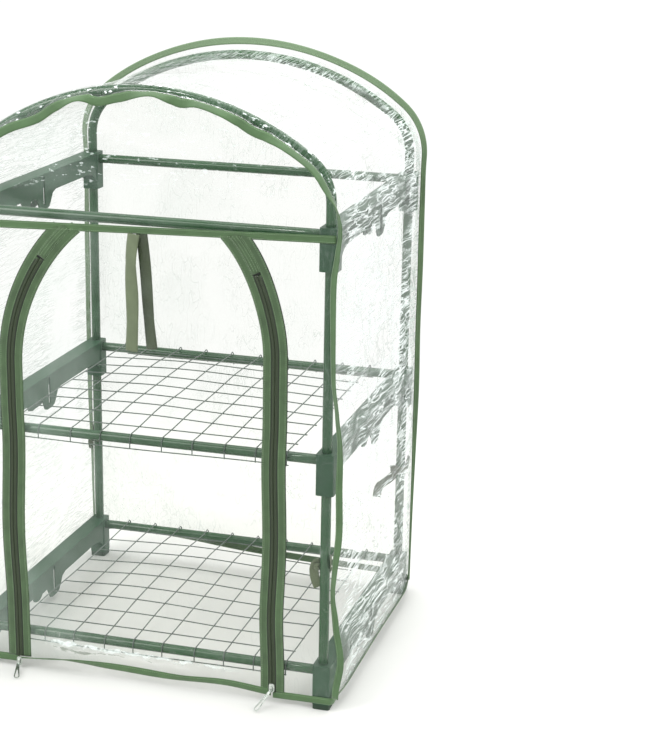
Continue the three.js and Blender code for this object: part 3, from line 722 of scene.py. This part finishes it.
def soften_edges(node, material, width):
    """Rounds a CAD solid's edges without touching its mesh."""
    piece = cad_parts[node]
    piece.data.materials.clear()
    piece.data.materials.append(material)
    weld = piece.modifiers.new("weld", "WELD")
    weld.merge_threshold = 0.00002
    flat = piece.modifiers.new("flat", "DECIMATE")
    flat.decimate_type = "DISSOLVE"
    flat.angle_limit = radians(0.5)
    bevel = piece.modifiers.new("bevel", "BEVEL")
    bevel.width = width
    bevel.segments = 2
    bevel.limit_method = "ANGLE"
    bevel.angle_limit = radians(32)
    bevel.harden_normals = False
    piece.modifiers.new("normals", "WEIGHTED_NORMAL")


def soften_mouldings():
    kinds = {"bracket": (MOULDING, 0.0007), "foot": (FOOT_PLASTIC, 0.0010), "slider": (METAL, 0.0003),
             "pull": (METAL, 0.0003)}
    for node in sorted(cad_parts):
        kind = node.split("_")[0]
        if kind in kinds:
            soften_edges(node, *kinds[kind])


# ---- the cover's lines

def leg_offset(x, z):
    right = curve_through(z, LEG_WAVE[1])
    left = curve_through(z, LEG_WAVE[-1])
    return np.where(x > 0, right, left) * MM


def front_turn(z):
    """0 beside the posts and 1 over the arch, where the front seam has slipped inwards."""
    return smooth(z, BAR_Z["top"] + 0.01, BAR_Z["top"] + 0.085)


COVER_STEP = 0.006
PROFILE, PROFILE_OUT = arch_line(COVER_X, COVER_TOP, COVER_RADII, FILM_LOW, COVER_STEP)
TURN = front_turn(PROFILE[:, 1])
RIBBON = 0.0135  # width of the tape over the arch
RIBBON_DROP = MM * curve_through(PROFILE[:, 0], ARCH_DROP)
RIBBON_SEEN = np.clip(RIBBON_DROP - 0.010, 0.0055, 0.0132)  # the rest of its width is turned forwards
SEAM_OFFSET = (1 - TURN) * leg_offset(PROFILE[:, 0], PROFILE[:, 1]) - TURN * (RIBBON_DROP - RIBBON_SEEN)
FRONT_EDGE = PROFILE + PROFILE_OUT * SEAM_OFFSET[:, None]
ARC = np.arange(len(PROFILE)) * COVER_STEP


def side_billow(x, y, z):
    """How far the film stands off its nominal line at the sides: flared at the hem, slack between levels."""
    depth = (y - FRONT_Y) / (BACK_Y - FRONT_Y)
    free = smooth(depth, -0.02, 0.14) * smooth(depth, 1.05, 0.88)
    flare = 0.009 * smooth(z, 0.17, 0.0)
    slack = 0.0028 * smooth(z, 0.10, 0.22) * smooth(z, 0.80, 0.66)
    lobes = 1 + np.sin(z * 15 + y * 9 + np.sign(x))
    near_seam = leg_offset(x, z) * (1 - front_turn(z)) * smooth(depth, 0.2, -0.03)
    return free * (flare + slack * lobes) + near_seam


def inward_limit(y, z):
    """How far the film may sink before it meets a bracket, a post or an arch tube."""
    held = np.maximum(*(smooth(np.abs(y - tube_y), 0.024, 0.012) for tube_y in (FRONT_Y, BACK_Y)))
    held = held * (z > BAR_Z["top"])
    for level in BAR_Z.values():
        bracket = smooth(z, level - 0.075, level - 0.056) * smooth(z, level + 0.03, level + 0.016)
        held = np.maximum(held, bracket)
    return 0.0006 + (1 - held) * np.where(z > BAR_Z["top"] + 0.05, 0.013, 0.005)


def sheet_of(name, points, uv, material=FILM):
    shape = Shape()
    shape.grid(points, uv)
    return shape.make(name, material, solid=False)


def make_wrap():
    """Roof and sides in one sheet: from hem to hem over both arches, and curled over the front arch tube."""
    front_arc = np.radians([0, 15, 30, 45, 60, 75])
    roll = TUBE_R + 0.0016  # the film's way round the front arch tube
    curl_y = np.concatenate([FRONT_Y - roll * np.sin(front_arc), [FRONT_Y - roll - 0.0022, FILM_FRONT]])
    curl_in = np.concatenate([-roll * (1 - np.cos(front_arc)), [-roll - 0.002, 0.0]])
    leg_y = np.linspace(FRONT_Y, FILM_FRONT, len(curl_y))
    ys = np.append(np.arange(FRONT_Y + COVER_STEP, FILM_BACK, COVER_STEP), FILM_BACK)
    s, y = np.meshgrid(ARC, ys, indexing="ij")
    x0, z0 = (np.repeat(column[:, None], len(ys), axis=1) for column in PROFILE.T)
    depth = (y - FRONT_Y) / (BACK_Y - FRONT_Y)
    roof = smooth(z0, 0.80, 0.87)
    ends = smooth(depth, 0.0, 0.1) * smooth(depth, 1.03, 0.93)
    sag = -0.008 * roof * 4 * np.clip(depth * (1 - depth), 0, 1)
    creased = crumple(s, y, 0.12, 1)
    fine = crumple(s + 1.7, y * 1.4, 0.034, 2, 3)
    long_folds = (1 - np.abs(np.sin(pi * (y * 6.5 + z0 * 3.6 + 0.35 * np.sin(z0 * 8))))) ** 3
    long_folds = long_folds * smooth(x0, 0.1, COVER_X) * smooth(z0, 0.93, 0.75)
    pleats = np.sin(y * 42 + 3 * np.sin(z0 * 6)) * smooth(depth, 0.45, 0.95)
    hem_hold = smooth(z0, FILM_LOW, FILM_LOW + 0.03)
    lift = side_billow(x0, y, z0) + sag + hem_hold * ends * (
        0.0028 * creased + 0.0004 * fine + 0.0016 * pleats * (1 - roof) + 0.0036 * long_folds)
    lift = np.maximum(lift, -inward_limit(y, z0))
    main = rows(x0 + PROFILE_OUT[:, :1] * lift, y, z0 + PROFILE_OUT[:, 1:] * lift)
    turn = TURN[:, None]
    leg_share = np.linspace(0, 1, len(curl_y))[None]
    billow = side_billow(PROFILE[:, :1], FRONT_Y, PROFILE[:, 1:])
    leg_lift = SEAM_OFFSET[:, None] * leg_share + billow * (1 - leg_share)
    leg_lift[:, :-1] = np.maximum(leg_lift, -inward_limit(leg_y[None], PROFILE[:, 1:]))[:, :-1]
    arch_lift = np.repeat(curl_in[None], len(ARC), axis=0)
    arch_lift[:, -1] = SEAM_OFFSET
    cy = (1 - turn) * leg_y[None] + turn * curl_y[None]
    puff = 0.0007 * (1 + crumple(ARC[:, None] + 0 * cy, cy, 0.02, 3, 3)) * np.sin(np.pi * leg_share)
    cl = (1 - turn) * leg_lift + turn * arch_lift + puff
    curl = rows(PROFILE[:, :1] + PROFILE_OUT[:, :1] * cl, cy, PROFILE[:, 1:] + PROFILE_OUT[:, 1:] * cl)
    points = np.concatenate([curl[:, ::-1], main], axis=1)
    points[..., 2] += hem_rise(*np.moveaxis(points, 2, 0))
    uv = rows(ARC[:, None], lengths(points[len(ARC) // 2])[None])
    piece = sheet_of("cover_wrap", points, uv, ROUGH_FILM)
    return settle(piece, "film", "cover_roof", "cover_side_left", "cover_side_right")


def cover_height(x):
    """Height of the cover's nominal arch at distance x from its middle."""
    shoulder_x, shoulder_z, crown_z = arch_centres(COVER_X, COVER_TOP, COVER_RADII)
    x = np.abs(x)
    reach = COVER_RADII["shoulder"] ** 2 - np.maximum(x - shoulder_x, 0) ** 2
    on_shoulder = shoulder_z + np.sqrt(np.maximum(reach, 0))
    on_crown = crown_z + np.sqrt(COVER_RADII["crown"] ** 2 - x**2)
    meet_x = COVER_RADII["crown"] / hypot(1, (shoulder_z - crown_z) / shoulder_x)
    return np.where(x < meet_x, on_crown, on_shoulder)


def back_flange(z):
    """Width of the film edge that stands up from the roof before its binding starts."""
    return 0.0058 * smooth(z, 0.74, 0.90)


def make_back():
    """The back panel, blown out a little where nothing holds it; its edge stands up past the roof."""
    xs = COVER_X * np.sin(np.linspace(-pi / 2, pi / 2, 110))
    x, v = np.meshgrid(xs, np.linspace(0, 1, 130), indexing="ij")
    lean = np.sqrt(np.clip(1 - (x / COVER_X) ** 4, 0.15, 1))
    rim = cover_height(x) + back_flange(cover_height(x)) / lean
    z = FILM_LOW + (rim - FILM_LOW) * v
    held = smooth(COVER_X - np.abs(x), 0, 0.03) * smooth(v, 0, 0.03) * smooth(v, 1, 0.96)
    fine = crumple(x, z + 1, 0.03, 5, 3)
    proud = np.maximum(0.0018 + 0.0024 * crumple(x + 2, z, 0.09, 4) + 0.0009 * fine, 0)
    proud = proud + 0.003 * (1 + np.sin(x * 13 + z * 4)) * smooth(z, 0.8, 0.5)
    points = rows(x, FILM_BACK + held * proud, z + hem_rise(x, FILM_BACK, z))
    return settle(sheet_of("cover_back_panel", points, rows(x, z)), "film", "cover_back")


def front_sheet(name, x, z, held, seed, fold=0.0):
    """A sheet in the plane of the front, creased outwards wherever no seam holds it."""
    fine = crumple(x, z + seed, 0.022, seed + 1, 3)
    proud = np.maximum(0.0006 + 0.0016 * crumple(x + seed, z, 0.06, seed) + 0.0007 * fine, -0.0008)
    y = FILM_FRONT + front_wave(x, z) - held * proud - fold
    return sheet_of(name, rows(x, y, z + seam_lift(x, z)), rows(x, z))


def make_gable():
    """The film above the front seam, ruled from the seam up to the arch."""
    above = FRONT_EDGE[:, 1] > SEAM_Z + 0.004
    edge = FRONT_EDGE[above]
    foot = edge[0, 0] + (edge[-1, 0] - edge[0, 0]) * np.linspace(0, 1, len(edge))
    v = np.linspace(0, 1, 44)[None]
    x, z = (low * (1 - v) + high[:, None] * v for low, high in zip((foot[:, None], SEAM_Z), edge.T))
    held = smooth(v, 0, 0.12) * smooth(v, 1, 0.9)
    return settle(front_sheet("cover_gable_panel", x, z, held, 2), "film", "cover_gable")


def ruled(left, right, z, count):
    """x and z all over a flat sheet between two edges, and the share of the way across."""
    v = np.linspace(0, 1, count)[None]
    return left[:, None] * (1 - v) + right[:, None] * v, np.repeat(z[:, None], count, axis=1), v


def make_strips():
    """The film between each front post and its zip."""
    pieces = []
    for side, zipper in ZIPS.items():
        z = np.linspace(FILM_LOW, SEAM_Z + 0.002, 150)
        on_side = (FRONT_EDGE[:, 0] * zipper["side"] > 0.2) & (FRONT_EDGE[:, 1] < SEAM_Z + 0.03)
        edge = FRONT_EDGE[on_side]
        edge = edge[np.argsort(edge[:, 1])]
        x, zz, v = ruled(zip_line(zipper, 0.001, z), np.interp(z, edge[:, 1], edge[:, 0]), z, 24)
        held = smooth(v, 0.0, 0.25) * smooth(v, 1, 0.8) * smooth(zz, FILM_LOW, FILM_LOW + 0.03)
        piece = front_sheet(f"cover_strip_{side}_panel", x, zz, held, 3)
        pieces.append(settle(piece, "film", f"cover_strip_{side}"))
    return pieces


def make_door():
    """The door's film, drawn up to its hem, with a ragged fold across it just above the hem."""
    z = np.concatenate([np.linspace(FILM_LOW, 0.08, 45), np.linspace(0.08, SEAM_Z - 0.001, 135)[1:]])
    x, zz, v = ruled(*(zip_line(zipper, -0.001, z) for zipper in ZIPS.values()), z, 150)
    held = smooth(v, 0, 0.08) * smooth(v, 1, 0.92) * smooth(zz, FILM_LOW, FILM_LOW + 0.02)
    held = held * smooth(zz, SEAM_Z, SEAM_Z - 0.04)
    zz = zz + (curve_through(x, DOOR_HEM) - FILM_LOW) * smooth(zz, FILM_LOW + 0.06, FILM_LOW)
    ragged = FIELDS[2].at(x * 60, zz * 12)
    ridge = np.exp(-((zz - 0.046 - 0.0035 * ragged + 0.02 * x) / 0.0055) ** 2)
    ridge = ridge * smooth(x, -0.20, -0.13) * smooth(x, 0.12, 0.02)
    fold = 0.0042 * ridge * (1 + 0.4 * FIELDS[3].at(x * 140, zz * 40))
    return settle(front_sheet("door_film_panel", x, zz, held, 4, fold), "film", "door_film", body="door")


def hang_on_seam(piece):
    """Bakes the door piece's transform into its mesh."""
    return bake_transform(piece)


# ---- tapes, bindings and zips

STITCH = (0.0024, 0.0006, 0.0004)  # length, width and height of one stitch
STITCH_PITCH = 0.0034
HEM_SECTION = tape_section(0.0118, 0.0014, 6, 0.0004)


def stitch_row(shape, line, face):
    """A row of stitches along a line; face is the direction that the tape's surface looks."""
    line = resample(line, STITCH_PITCH)
    along = heading(line)
    side = unit(np.cross(np.broadcast_to(face, line.shape), along))
    shape.beads(line[1:-1], along[1:-1], side[1:-1], STITCH)


def sewn_tape(node, line, across, section, seams, material=BINDING, names=None, body=FRAME):
    """A tape and its stitches; each seam is a line and the direction that its face looks."""
    tape_name, stitches_name = names or (f"{node}_tape", f"{node}_stitches")
    threads = Shape()
    for row, face in seams:
        stitch_row(threads, row, face)
    return [settle(swept(tape_name, material, line, across, section), "binding", node, body=body),
            settle(threads.make(stitches_name, THREAD), "binding", body=body)]


def make_front_binding():
    """Folded edge tape on the front seam: flares out beside the posts and hangs inwards over the arch."""
    keep = PROFILE[:, 1] > HEM_TOP
    edge, out, turn, arc = FRONT_EDGE[keep], PROFILE_OUT[keep], TURN[keep], ARC[keep]
    leg_width = 0.0112
    width = leg_width + 0.0008 * np.sin(arc * 31) * (1 - turn) + (RIBBON - leg_width) * turn
    angle = np.where(edge[:, 0] > 0, curve_through(edge[:, 1], LEG_TURN), 42 + 10 * np.sin(arc * 27))
    angle = np.radians(angle)[:, None]
    normal = rows(out[:, 0], 0, out[:, 1])
    forward = np.array([0.0, -1, 0])
    seen = (RIBBON_SEEN[keep] / RIBBON)[:, None]
    on_arch = -seen * normal + np.sqrt(1 - seen**2) * forward
    share = turn[:, None]
    across = unit((1 - share) * (np.cos(angle) * normal + np.sin(angle) * forward) + share * on_arch)
    base = rows(edge[:, 0], TAPE_FRONT - 0.0004, edge[:, 1])
    centre = base + across * (width / 2)[:, None]
    section = np.stack([tape_section(w, 0.0015, 6, 0.0005) for w in width])
    face = np.cross(heading(centre), across)
    seams = [(base + across * 0.0022 + face * (sign * 0.0010), face[len(face) // 2]) for sign in (-1, 1)]
    return sewn_tape("binding_front", centre, across, section, seams, FRONT_BINDING)


def make_back_binding():
    """Folded tape on the film edge that stands out from the back seam all the way round."""
    keep = PROFILE[:, 1] > HEM_LOW + 0.002
    line, out, arc = PROFILE[keep], PROFILE_OUT[keep], ARC[keep]
    width = 0.0090 + 0.0025 * smooth(line[:, 1], SEAM_Z, ARCH_TOP) + 0.0005 * np.sin(arc * 23)
    width = width * (0.35 + 0.65 * smooth(line[:, 1], HEM_LOW, 0.42))
    bow = 0.0012 * np.sin(arc * 9) + 0.0006 * np.sin(arc * 37)
    across = unit(rows(out[:, 0], 0.12 + 0.10 * np.sin(arc * 13), out[:, 1]))
    rise = hem_rise(line[:, 0], FILM_BACK - 0.006, line[:, 1])
    base = rows(line[:, 0], FILM_BACK + bow, line[:, 1] + rise)
    base = base + across * (0.0004 + back_flange(line[:, 1]))[:, None]
    section = np.stack([tape_section(w, 0.0021, 8, 0.0004) for w in width])
    seams = [(base + across * 0.0030 + (0, sign * 0.0013, 0), (0, sign, 0)) for sign in (-1, 1)]
    centre = base + across * (width / 2)[:, None]
    return sewn_tape("binding_back", centre, across, section, seams, PALE_BINDING)


def hem_path(height):
    """Plan line of the hem from the right zip round the cover to the left zip."""
    corner, proud = 0.006, 0.0008
    parts = []
    for side, zipper in ((1, ZIPS["right"]), (-1, ZIPS["left"])):
        side_y = np.linspace(FILM_FRONT + corner, FILM_BACK - corner, 90)
        billow = side_billow(side * COVER_X, np.maximum(side_y, FRONT_Y), height)
        xs = side * (COVER_X + billow + proud)
        front = np.linspace(side * (zipper["x"] + 0.001), xs[0] - side * corner, 40)
        pieces = [rows(front, TAPE_FRONT)]
        for x, y, turn in ((xs[0], FILM_FRONT + corner, np.linspace(-90, 0, 8)[1:-1]),
                           (xs[-1], FILM_BACK - corner, np.linspace(0, 90, 8)[1:])):
            turn = np.radians(turn)
            pieces.append(rows(x - side * corner + side * corner * np.cos(turn),
                               y + (corner + proud) * np.sin(turn)))
        part = np.concatenate([pieces[0], pieces[1], rows(xs, side_y), pieces[2]])
        parts.append(part[::side])
    gap = np.linspace(parts[0][-1], parts[1][0], 60)[1:-1]
    return np.concatenate([parts[0], gap, parts[1]])


def make_cover_hem():
    height, step = (HEM_LOW + HEM_TOP) / 2, 0.005
    x, y = resample(hem_path(height), step).T
    arc = np.arange(len(x)) * step
    line = rows(x, y, height + 0.0007 * np.sin(arc * 21) + hem_rise(x, y, HEM_LOW))
    along = heading(line)
    away = unit(np.cross(along, (0, 0, 1)))
    under = smooth(y, FRONT_Y - 0.008, FRONT_Y + 0.03) * smooth(y, FILM_BACK - 0.001, FILM_BACK - 0.02)
    tilt = np.radians(6 * np.sin(arc * 17) + 30 * under)[:, None]
    across = np.cos(tilt) * np.array([0, 0, 1]) + np.sin(tilt) * away
    seam = line + np.cross(along, across) * 0.0009 + across * 0.0035
    return sewn_tape("hem_cover", line, across, HEM_SECTION, [(seam, (0, 0, 1))])


def make_door_hem():
    xs = np.linspace(-ZIPS["left"]["x"] + 0.002, ZIPS["right"]["x"] - 0.002, 90)
    turn = np.radians(curve_through(xs, DOOR_HEM_TURN))
    across = rows(0, -np.sin(turn), np.cos(turn))
    line = rows(xs, TAPE_FRONT, curve_through(xs, DOOR_HEM))
    seam = line + across * 0.0035 - np.cross(across, (1, 0, 0)) * 0.0010
    return sewn_tape("hem_door", line, across, HEM_SECTION, [(seam, (0, 0, 1))], body="door")


def make_seam_tape():
    xs = np.linspace(-COVER_X + 0.003, COVER_X - 0.003, 120)
    nominal = SEAM_Z + 0.001
    turn = np.radians(14 * np.sin(xs * 9 + 1) + 6)
    line = rows(xs, TAPE_FRONT - 0.0008, nominal + seam_lift(xs, nominal))
    across = rows(0, -np.sin(turn), np.cos(turn))
    seams = [(line + across * up - (0, 0.0010, 0), (0, -1, 0)) for up in (-0.0038, 0.0038)]
    return sewn_tape("seam_tape", line, across, tape_section(0.0118, 0.0013, 6, -0.0005), seams,
                     names=("seam_tape_strip", "seam_stitches"))


def zip_path(zipper, offset, low, high, proud=0.0, step=0.004):
    """Points along one line of a zip, on the tape's middle or proud of it."""
    z = np.linspace(low, high, int((high - low) / step * 1.15) + 2)
    x = zip_line(zipper, offset, z)
    wave = front_wave(zip_line(zipper, 0.0, z), z)
    return rows(x, TAPE_FRONT + wave - proud, z + seam_lift(x, z))


def make_zip_half(side, zipper, sign):
    """One tape with its stitch rows and its row of coil. sign is 1 outside the door and -1 on it."""
    low, top, coil_top = HEM_TOP - 0.002, SEAM_Z + 0.001, zipper["coil_top"]
    x_axis, facing = (1.0, 0, 0), (0.0, -1, 0)
    tape, threads, coil, cords = Shape(), Shape(), Shape(), Shape()

    def lay(shape, section, offset, foot, head, proud, step=0.004):
        shape.sweep(zip_path(zipper, offset, foot, head, proud, step), x_axis, tape_section(*section))

    lay(tape, (ZIP_TAPE, TAPE, 8, -0.0004), sign * ZIP_TAPE / 2, low, top, 0.0002 * sign)
    if sign < 0:
        # a patch closes the zip above the end of its coil
        lay(tape, (0.0140, TAPE, 4, -0.0002), 0.0, coil_top + 0.003, top, 0.0008)
        for offset in (-0.0058, -0.0020, 0.0024, 0.0058):
            stitch_row(threads, zip_path(zipper, offset, coil_top + 0.004, top, 0.0014), facing)
    for offset, proud in ((ZIP_TAPE - 0.0018, 0.00062), (ZIP_TAPE - 0.0034, 0.00075), (0.0076, 0.00095)):
        stitch_row(threads, zip_path(zipper, sign * offset, low, top, proud), facing)
    lay(cords, (0.0015, 0.0012, 4, 0.0002), sign * 0.0054, low, coil_top, 0.0009)
    if sign > 0:
        # a dark cord along the outer edge paints the shadow line there
        lay(cords, (0.0010, 0.0013, 4, 0.0002), ZIP_TAPE - 0.0002, low, top - 0.004, 0.0001)
    lay(cords, (0.0122, 0.0010, 4, 0.0002), 0.0, coil_top, coil_top + 0.003, 0.0009, 0.001)
    lay(coil, (0.0044, 0.0009, 4, -0.0002), sign * 0.0024, low, coil_top, 0.0010)
    teeth = resample(zip_path(zipper, sign * 0.0020, low, coil_top, 0.0017), 0.00145)
    along = heading(teeth)
    over = unit(np.cross(facing, along))
    half_pitch = 0.0007 if sign > 0 else 0.0
    coil.beads((teeth + along * half_pitch)[1:-1], over[1:-1], along[1:-1], (0.0034, 0.00095, 0.0012))
    node = f"zip_{'outer' if sign > 0 else 'inner'}_{side}"
    body = FRAME if sign > 0 else "door"
    return [settle(tape.make(f"{node}_tape", ZIP_CLOTH), "zip_tape", node, body=body)] + [
        settle(shape.make(f"{node}_{part}", material), "zip_tape", body=body)
        for shape, part, material in ((threads, "stitches", THREAD), (coil, "coil", COIL),
                                      (cords, "cords", DARK_CORD))]


# ---- ties

def door_tie(node, x, y, z, across, width, material):
    """A strap swept along the given points, with its transform baked into its mesh."""
    points = resample(rows(x, y, z), 0.003)
    shares = [np.linspace(0, 1, len(table)) for table in (points, across)]
    section = tape_section(width, 0.0011, 6, 0.0008)
    strap = swept(f"{node}_strap", material, points, unit(between(across, *shares)), section)
    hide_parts(node)
    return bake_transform(strap)


def make_door_ties():
    """Two straps sewn to the seam at the middle of the door: one outside it, one inside in painted shade."""
    low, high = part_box("door_tie_outer")
    share = np.linspace(0, 1, 12)
    z = np.linspace(high.z + 0.007, low.z, 12)
    outer = door_tie("door_tie_outer", -0.0120 - 0.0045 * share - 0.0022 * np.sin(share * 7),
                     TAPE_FRONT - 0.0012 - 0.0065 * np.sin(share * pi) - 0.0010 * np.sin(share * 11), z,
                     [(1, -0.02, 0), (1, -0.30, 0), (1, 0.22, 0), (1, -0.10, 0), (1, 0.05, 0)],
                     TIE_WIDTH, TIE_CLOTH)
    inner = door_tie("door_tie_inner", -0.0020 + 0.0135 * share + 0.0010 * np.sin(share * 6),
                     FILM_FRONT + 0.0035 + 0.0050 * share, z + 0.003,
                     [(1, 0.12, 0), (0.95, 0.3, 0), (1, 0.2, 0), (1, -0.1, 0), (1, 0.1, 0)],
                     0.017, SHADED_TIE_CLOTH)
    return [outer, inner]


# Each corner's tail: where it points and its stations out from the post and up, in millimetres.
CORNER_TAILS = {
    "front_left": (0, [(0, 8), (4, 7), (8, 2), (10, -7), (8, -20), (3, -33)]),
    "front_right": (180, [(0, 8), (4, 7), (8, 2), (10, -7), (8, -20), (2, -33)]),
    "back_left": (-100, [(7, 0), (14, 5), (19, -2), (16, -12), (10, -14)]),
    "back_right": (192, [(1, -8), (10, -19), (20, -26), (28, -33), (31, -42), (32, -54)]),
}
# The part of the post that each tie goes round, in degrees; the front ties leave their post's front bare.
CORNER_RINGS = {"front_left": (18, 180), "front_right": (180, 342), "back_left": (18, 342),
                "back_right": (18, 342)}


def make_corner_tie(corner, yaw, stations):
    """A strap sewn into the corner of the cover, led round the back of a post and knotted, with a loose
    tail that hangs flat-on at the front and twists round at the back."""
    front = corner.startswith("front")
    side = copysign(1, middle(f"tie_{corner}").x)
    y = FRONT_Y if front else BACK_Y
    centre = np.array([side * POST_X, y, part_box(f"tie_{corner}")[1].z - 0.007])
    angle = radians(yaw)
    out = np.array([cos(angle), sin(angle), 0])
    sideways = np.array([-sin(angle), cos(angle), 0])
    up = np.array([0, 0, 1.0])
    shape = Shape()
    ring = np.linspace(*np.radians(CORNER_RINGS[corner]), 40)
    for lift, slope in ((0.0, 0.0022), (-0.0012, -0.0026)):
        radius = TUBE_R + 0.0012 + 0.0006 * (lift < 0)
        shape.sweep([centre + radius * (out * cos(a) + sideways * sin(a))
                     + up * (lift + slope * cos(a)) for a in ring],
                    up, tape_section(0.0115, 0.0010, 6, -0.0004))
    seam_y = FRONT_Y - TUBE_R - 0.002 if front else FILM_BACK - 0.002
    sewn = [centre + (side * (TUBE_R + 0.0012), 0, 0.001),
            (side * ((POST_X + COVER_X) / 2 + 0.003), (2 * y + seam_y) / 3, centre[2] + 0.008),
            (side * (COVER_X - 0.004), seam_y, centre[2] + 0.020)]
    shape.sweep(resample(smooth_path(sewn), 0.0025), up, tape_section(0.0135, 0.0011, 6, 0.0007))
    knot = centre + out * (TUBE_R + 0.0045)
    for turn in (0.5, -0.9, 1.9):
        loop = [knot + 0.0040 * (out * 0.6 * cos(a) + sideways * sin(a) * 0.9
                                 + up * (1.25 * sin(a + turn))) for a in np.linspace(0, 2 * pi, 22)]
        shape.sweep(loop, out, tape_section(0.0062, 0.0013, 4, 0.0006))
    tail = [centre + out * (TUBE_R + a * MM) + up * (b * MM) for a, b in stations]
    turned = [out * 0.3 + up, out * 0.4 + up, out + up * 0.4]
    if front:
        turned = [sideways * 0.3 + up, out, out * 0.9 + sideways * 0.3]
    line = resample(smooth_path(tail), 0.0025)
    across = unit(between(turned, np.linspace(0, 1, len(line)), (0, 0.45, 1)))
    shape.sweep(line, across, tape_section(0.0145, 0.0011, 6, 0.0007))
    # The back ties get the darker copy of the tape: painted shade.
    piece = shape.make(f"tie_{corner}_strap", TIE_CLOTH if front else SHADED_TIE_CLOTH)
    return settle(piece, "tie", f"tie_{corner}")


def smooth_path(points):
    """The same stations with the corners rounded off."""
    points = np.asarray(points, float)
    for _ in range(3):
        cut = [points[0]]
        for a, b in zip(points[:-1], points[1:]):
            cut += [0.75 * a + 0.25 * b, 0.25 * a + 0.75 * b]
        points = np.array(cut + [points[-1]])
    return points


# ---- studio

def put(name, data):
    """Places data in the scene as an object that is no part of the greenhouse."""
    thing = bpy.data.objects.new(name, data)
    bpy.context.scene.collection.objects.link(thing)
    return thing


def softbox(name, place, size, watts):
    """A rectangular lamp aimed at the middle of the greenhouse."""
    light = bpy.data.lights.new(name, "AREA")
    light.shape = "RECTANGLE"
    light.size, light.size_y = size
    light.energy = watts
    lamp = put(name, light)
    lamp.location = place
    lamp.rotation_euler = (Vector((0, 0, 0.45)) - Vector(place)).to_track_quat("-Z", "Y").to_euler()


def make_studio():
    reach = 14
    corners = [(-reach, -reach, 0), (reach, -reach, 0), (reach, reach, 0), (-reach, reach, 0)]
    ground = bpy.data.meshes.new("floor")
    ground.from_pydata(corners, [], [(0, 1, 2, 3)])
    ground.materials.append(floor_material())
    put("floor", ground)
    softbox("key", (-1.9, -2.3, 2.5), (1.8, 1.8), 52)
    softbox("top", (0.3, 0.3, 3.2), (2.6, 2.6), 62)
    softbox("right", (2.8, -0.6, 1.5), (1.2, 2.0), 22)
    softbox("spark_front", (-0.5, -1.9, 2.6), (0.12, 0.3), 7)
    softbox("spark_back", (1.3, 1.2, 2.3), (0.12, 0.3), 5)
    g = Graph("studio", "worlds")
    bpy.context.scene.world = g.owner
    lit, seen = (g.node("Background", {"Color": (1, 1, 1, 1), "Strength": strength}).outputs[0]
                 for strength in (0.78, 1.05))
    ray = g.node("LightPath").outputs
    shown = g.most(ray["Is Camera Ray"], ray["Is Glossy Ray"])
    g.finish(g.blend(shown, lit, seen), "OutputWorld")


def make_camera():
    azimuth, elevation, roll = radians(15.78), radians(16.37), radians(1.0)
    level_right = Vector((cos(azimuth), sin(azimuth), 0))
    back = Vector((sin(azimuth) * cos(elevation), -cos(azimuth) * cos(elevation),
                   sin(elevation)))
    level_up = back.cross(level_right)
    right = cos(roll) * level_right + sin(roll) * level_up
    up = cos(roll) * level_up - sin(roll) * level_right
    data = bpy.data.cameras.new("camera")
    data.lens = 88.54
    data.sensor_width = 36
    data.clip_end = 60
    camera = put("camera", data)
    turn = Matrix((right, up, back)).transposed().to_4x4()
    camera.matrix_world = Matrix.Translation((0.9811, MID_Y - 2.7246, 1.2906)) @ turn
    bpy.context.scene.camera = camera


# ---- build

def make_object():
    make_tubes()
    shelf_wires("shelf_lower", BAR_Z["low"], 0)
    shelf_wires("shelf_middle", BAR_Z["middle"], 3)
    soften_mouldings()
    wrap = make_wrap()
    back = make_back()
    gable = make_gable()
    strips = make_strips()
    door = make_door()
    bindings = make_front_binding() + make_back_binding() + make_cover_hem()
    door_hem = make_door_hem()
    seam = make_seam_tape()
    zips = {(side, sign): make_zip_half(side, zipper, sign)
            for side, zipper in ZIPS.items() for sign in (1, -1)}
    door_ties = make_door_ties()
    corner_ties = {corner: make_corner_tie(corner, *tail) for corner, tail in CORNER_TAILS.items()}


make_camera()
make_studio()
make_object()
bpy.context.scene.view_settings.view_transform = "Standard"
bpy.context.scene.cycles.transparent_max_bounces = 24
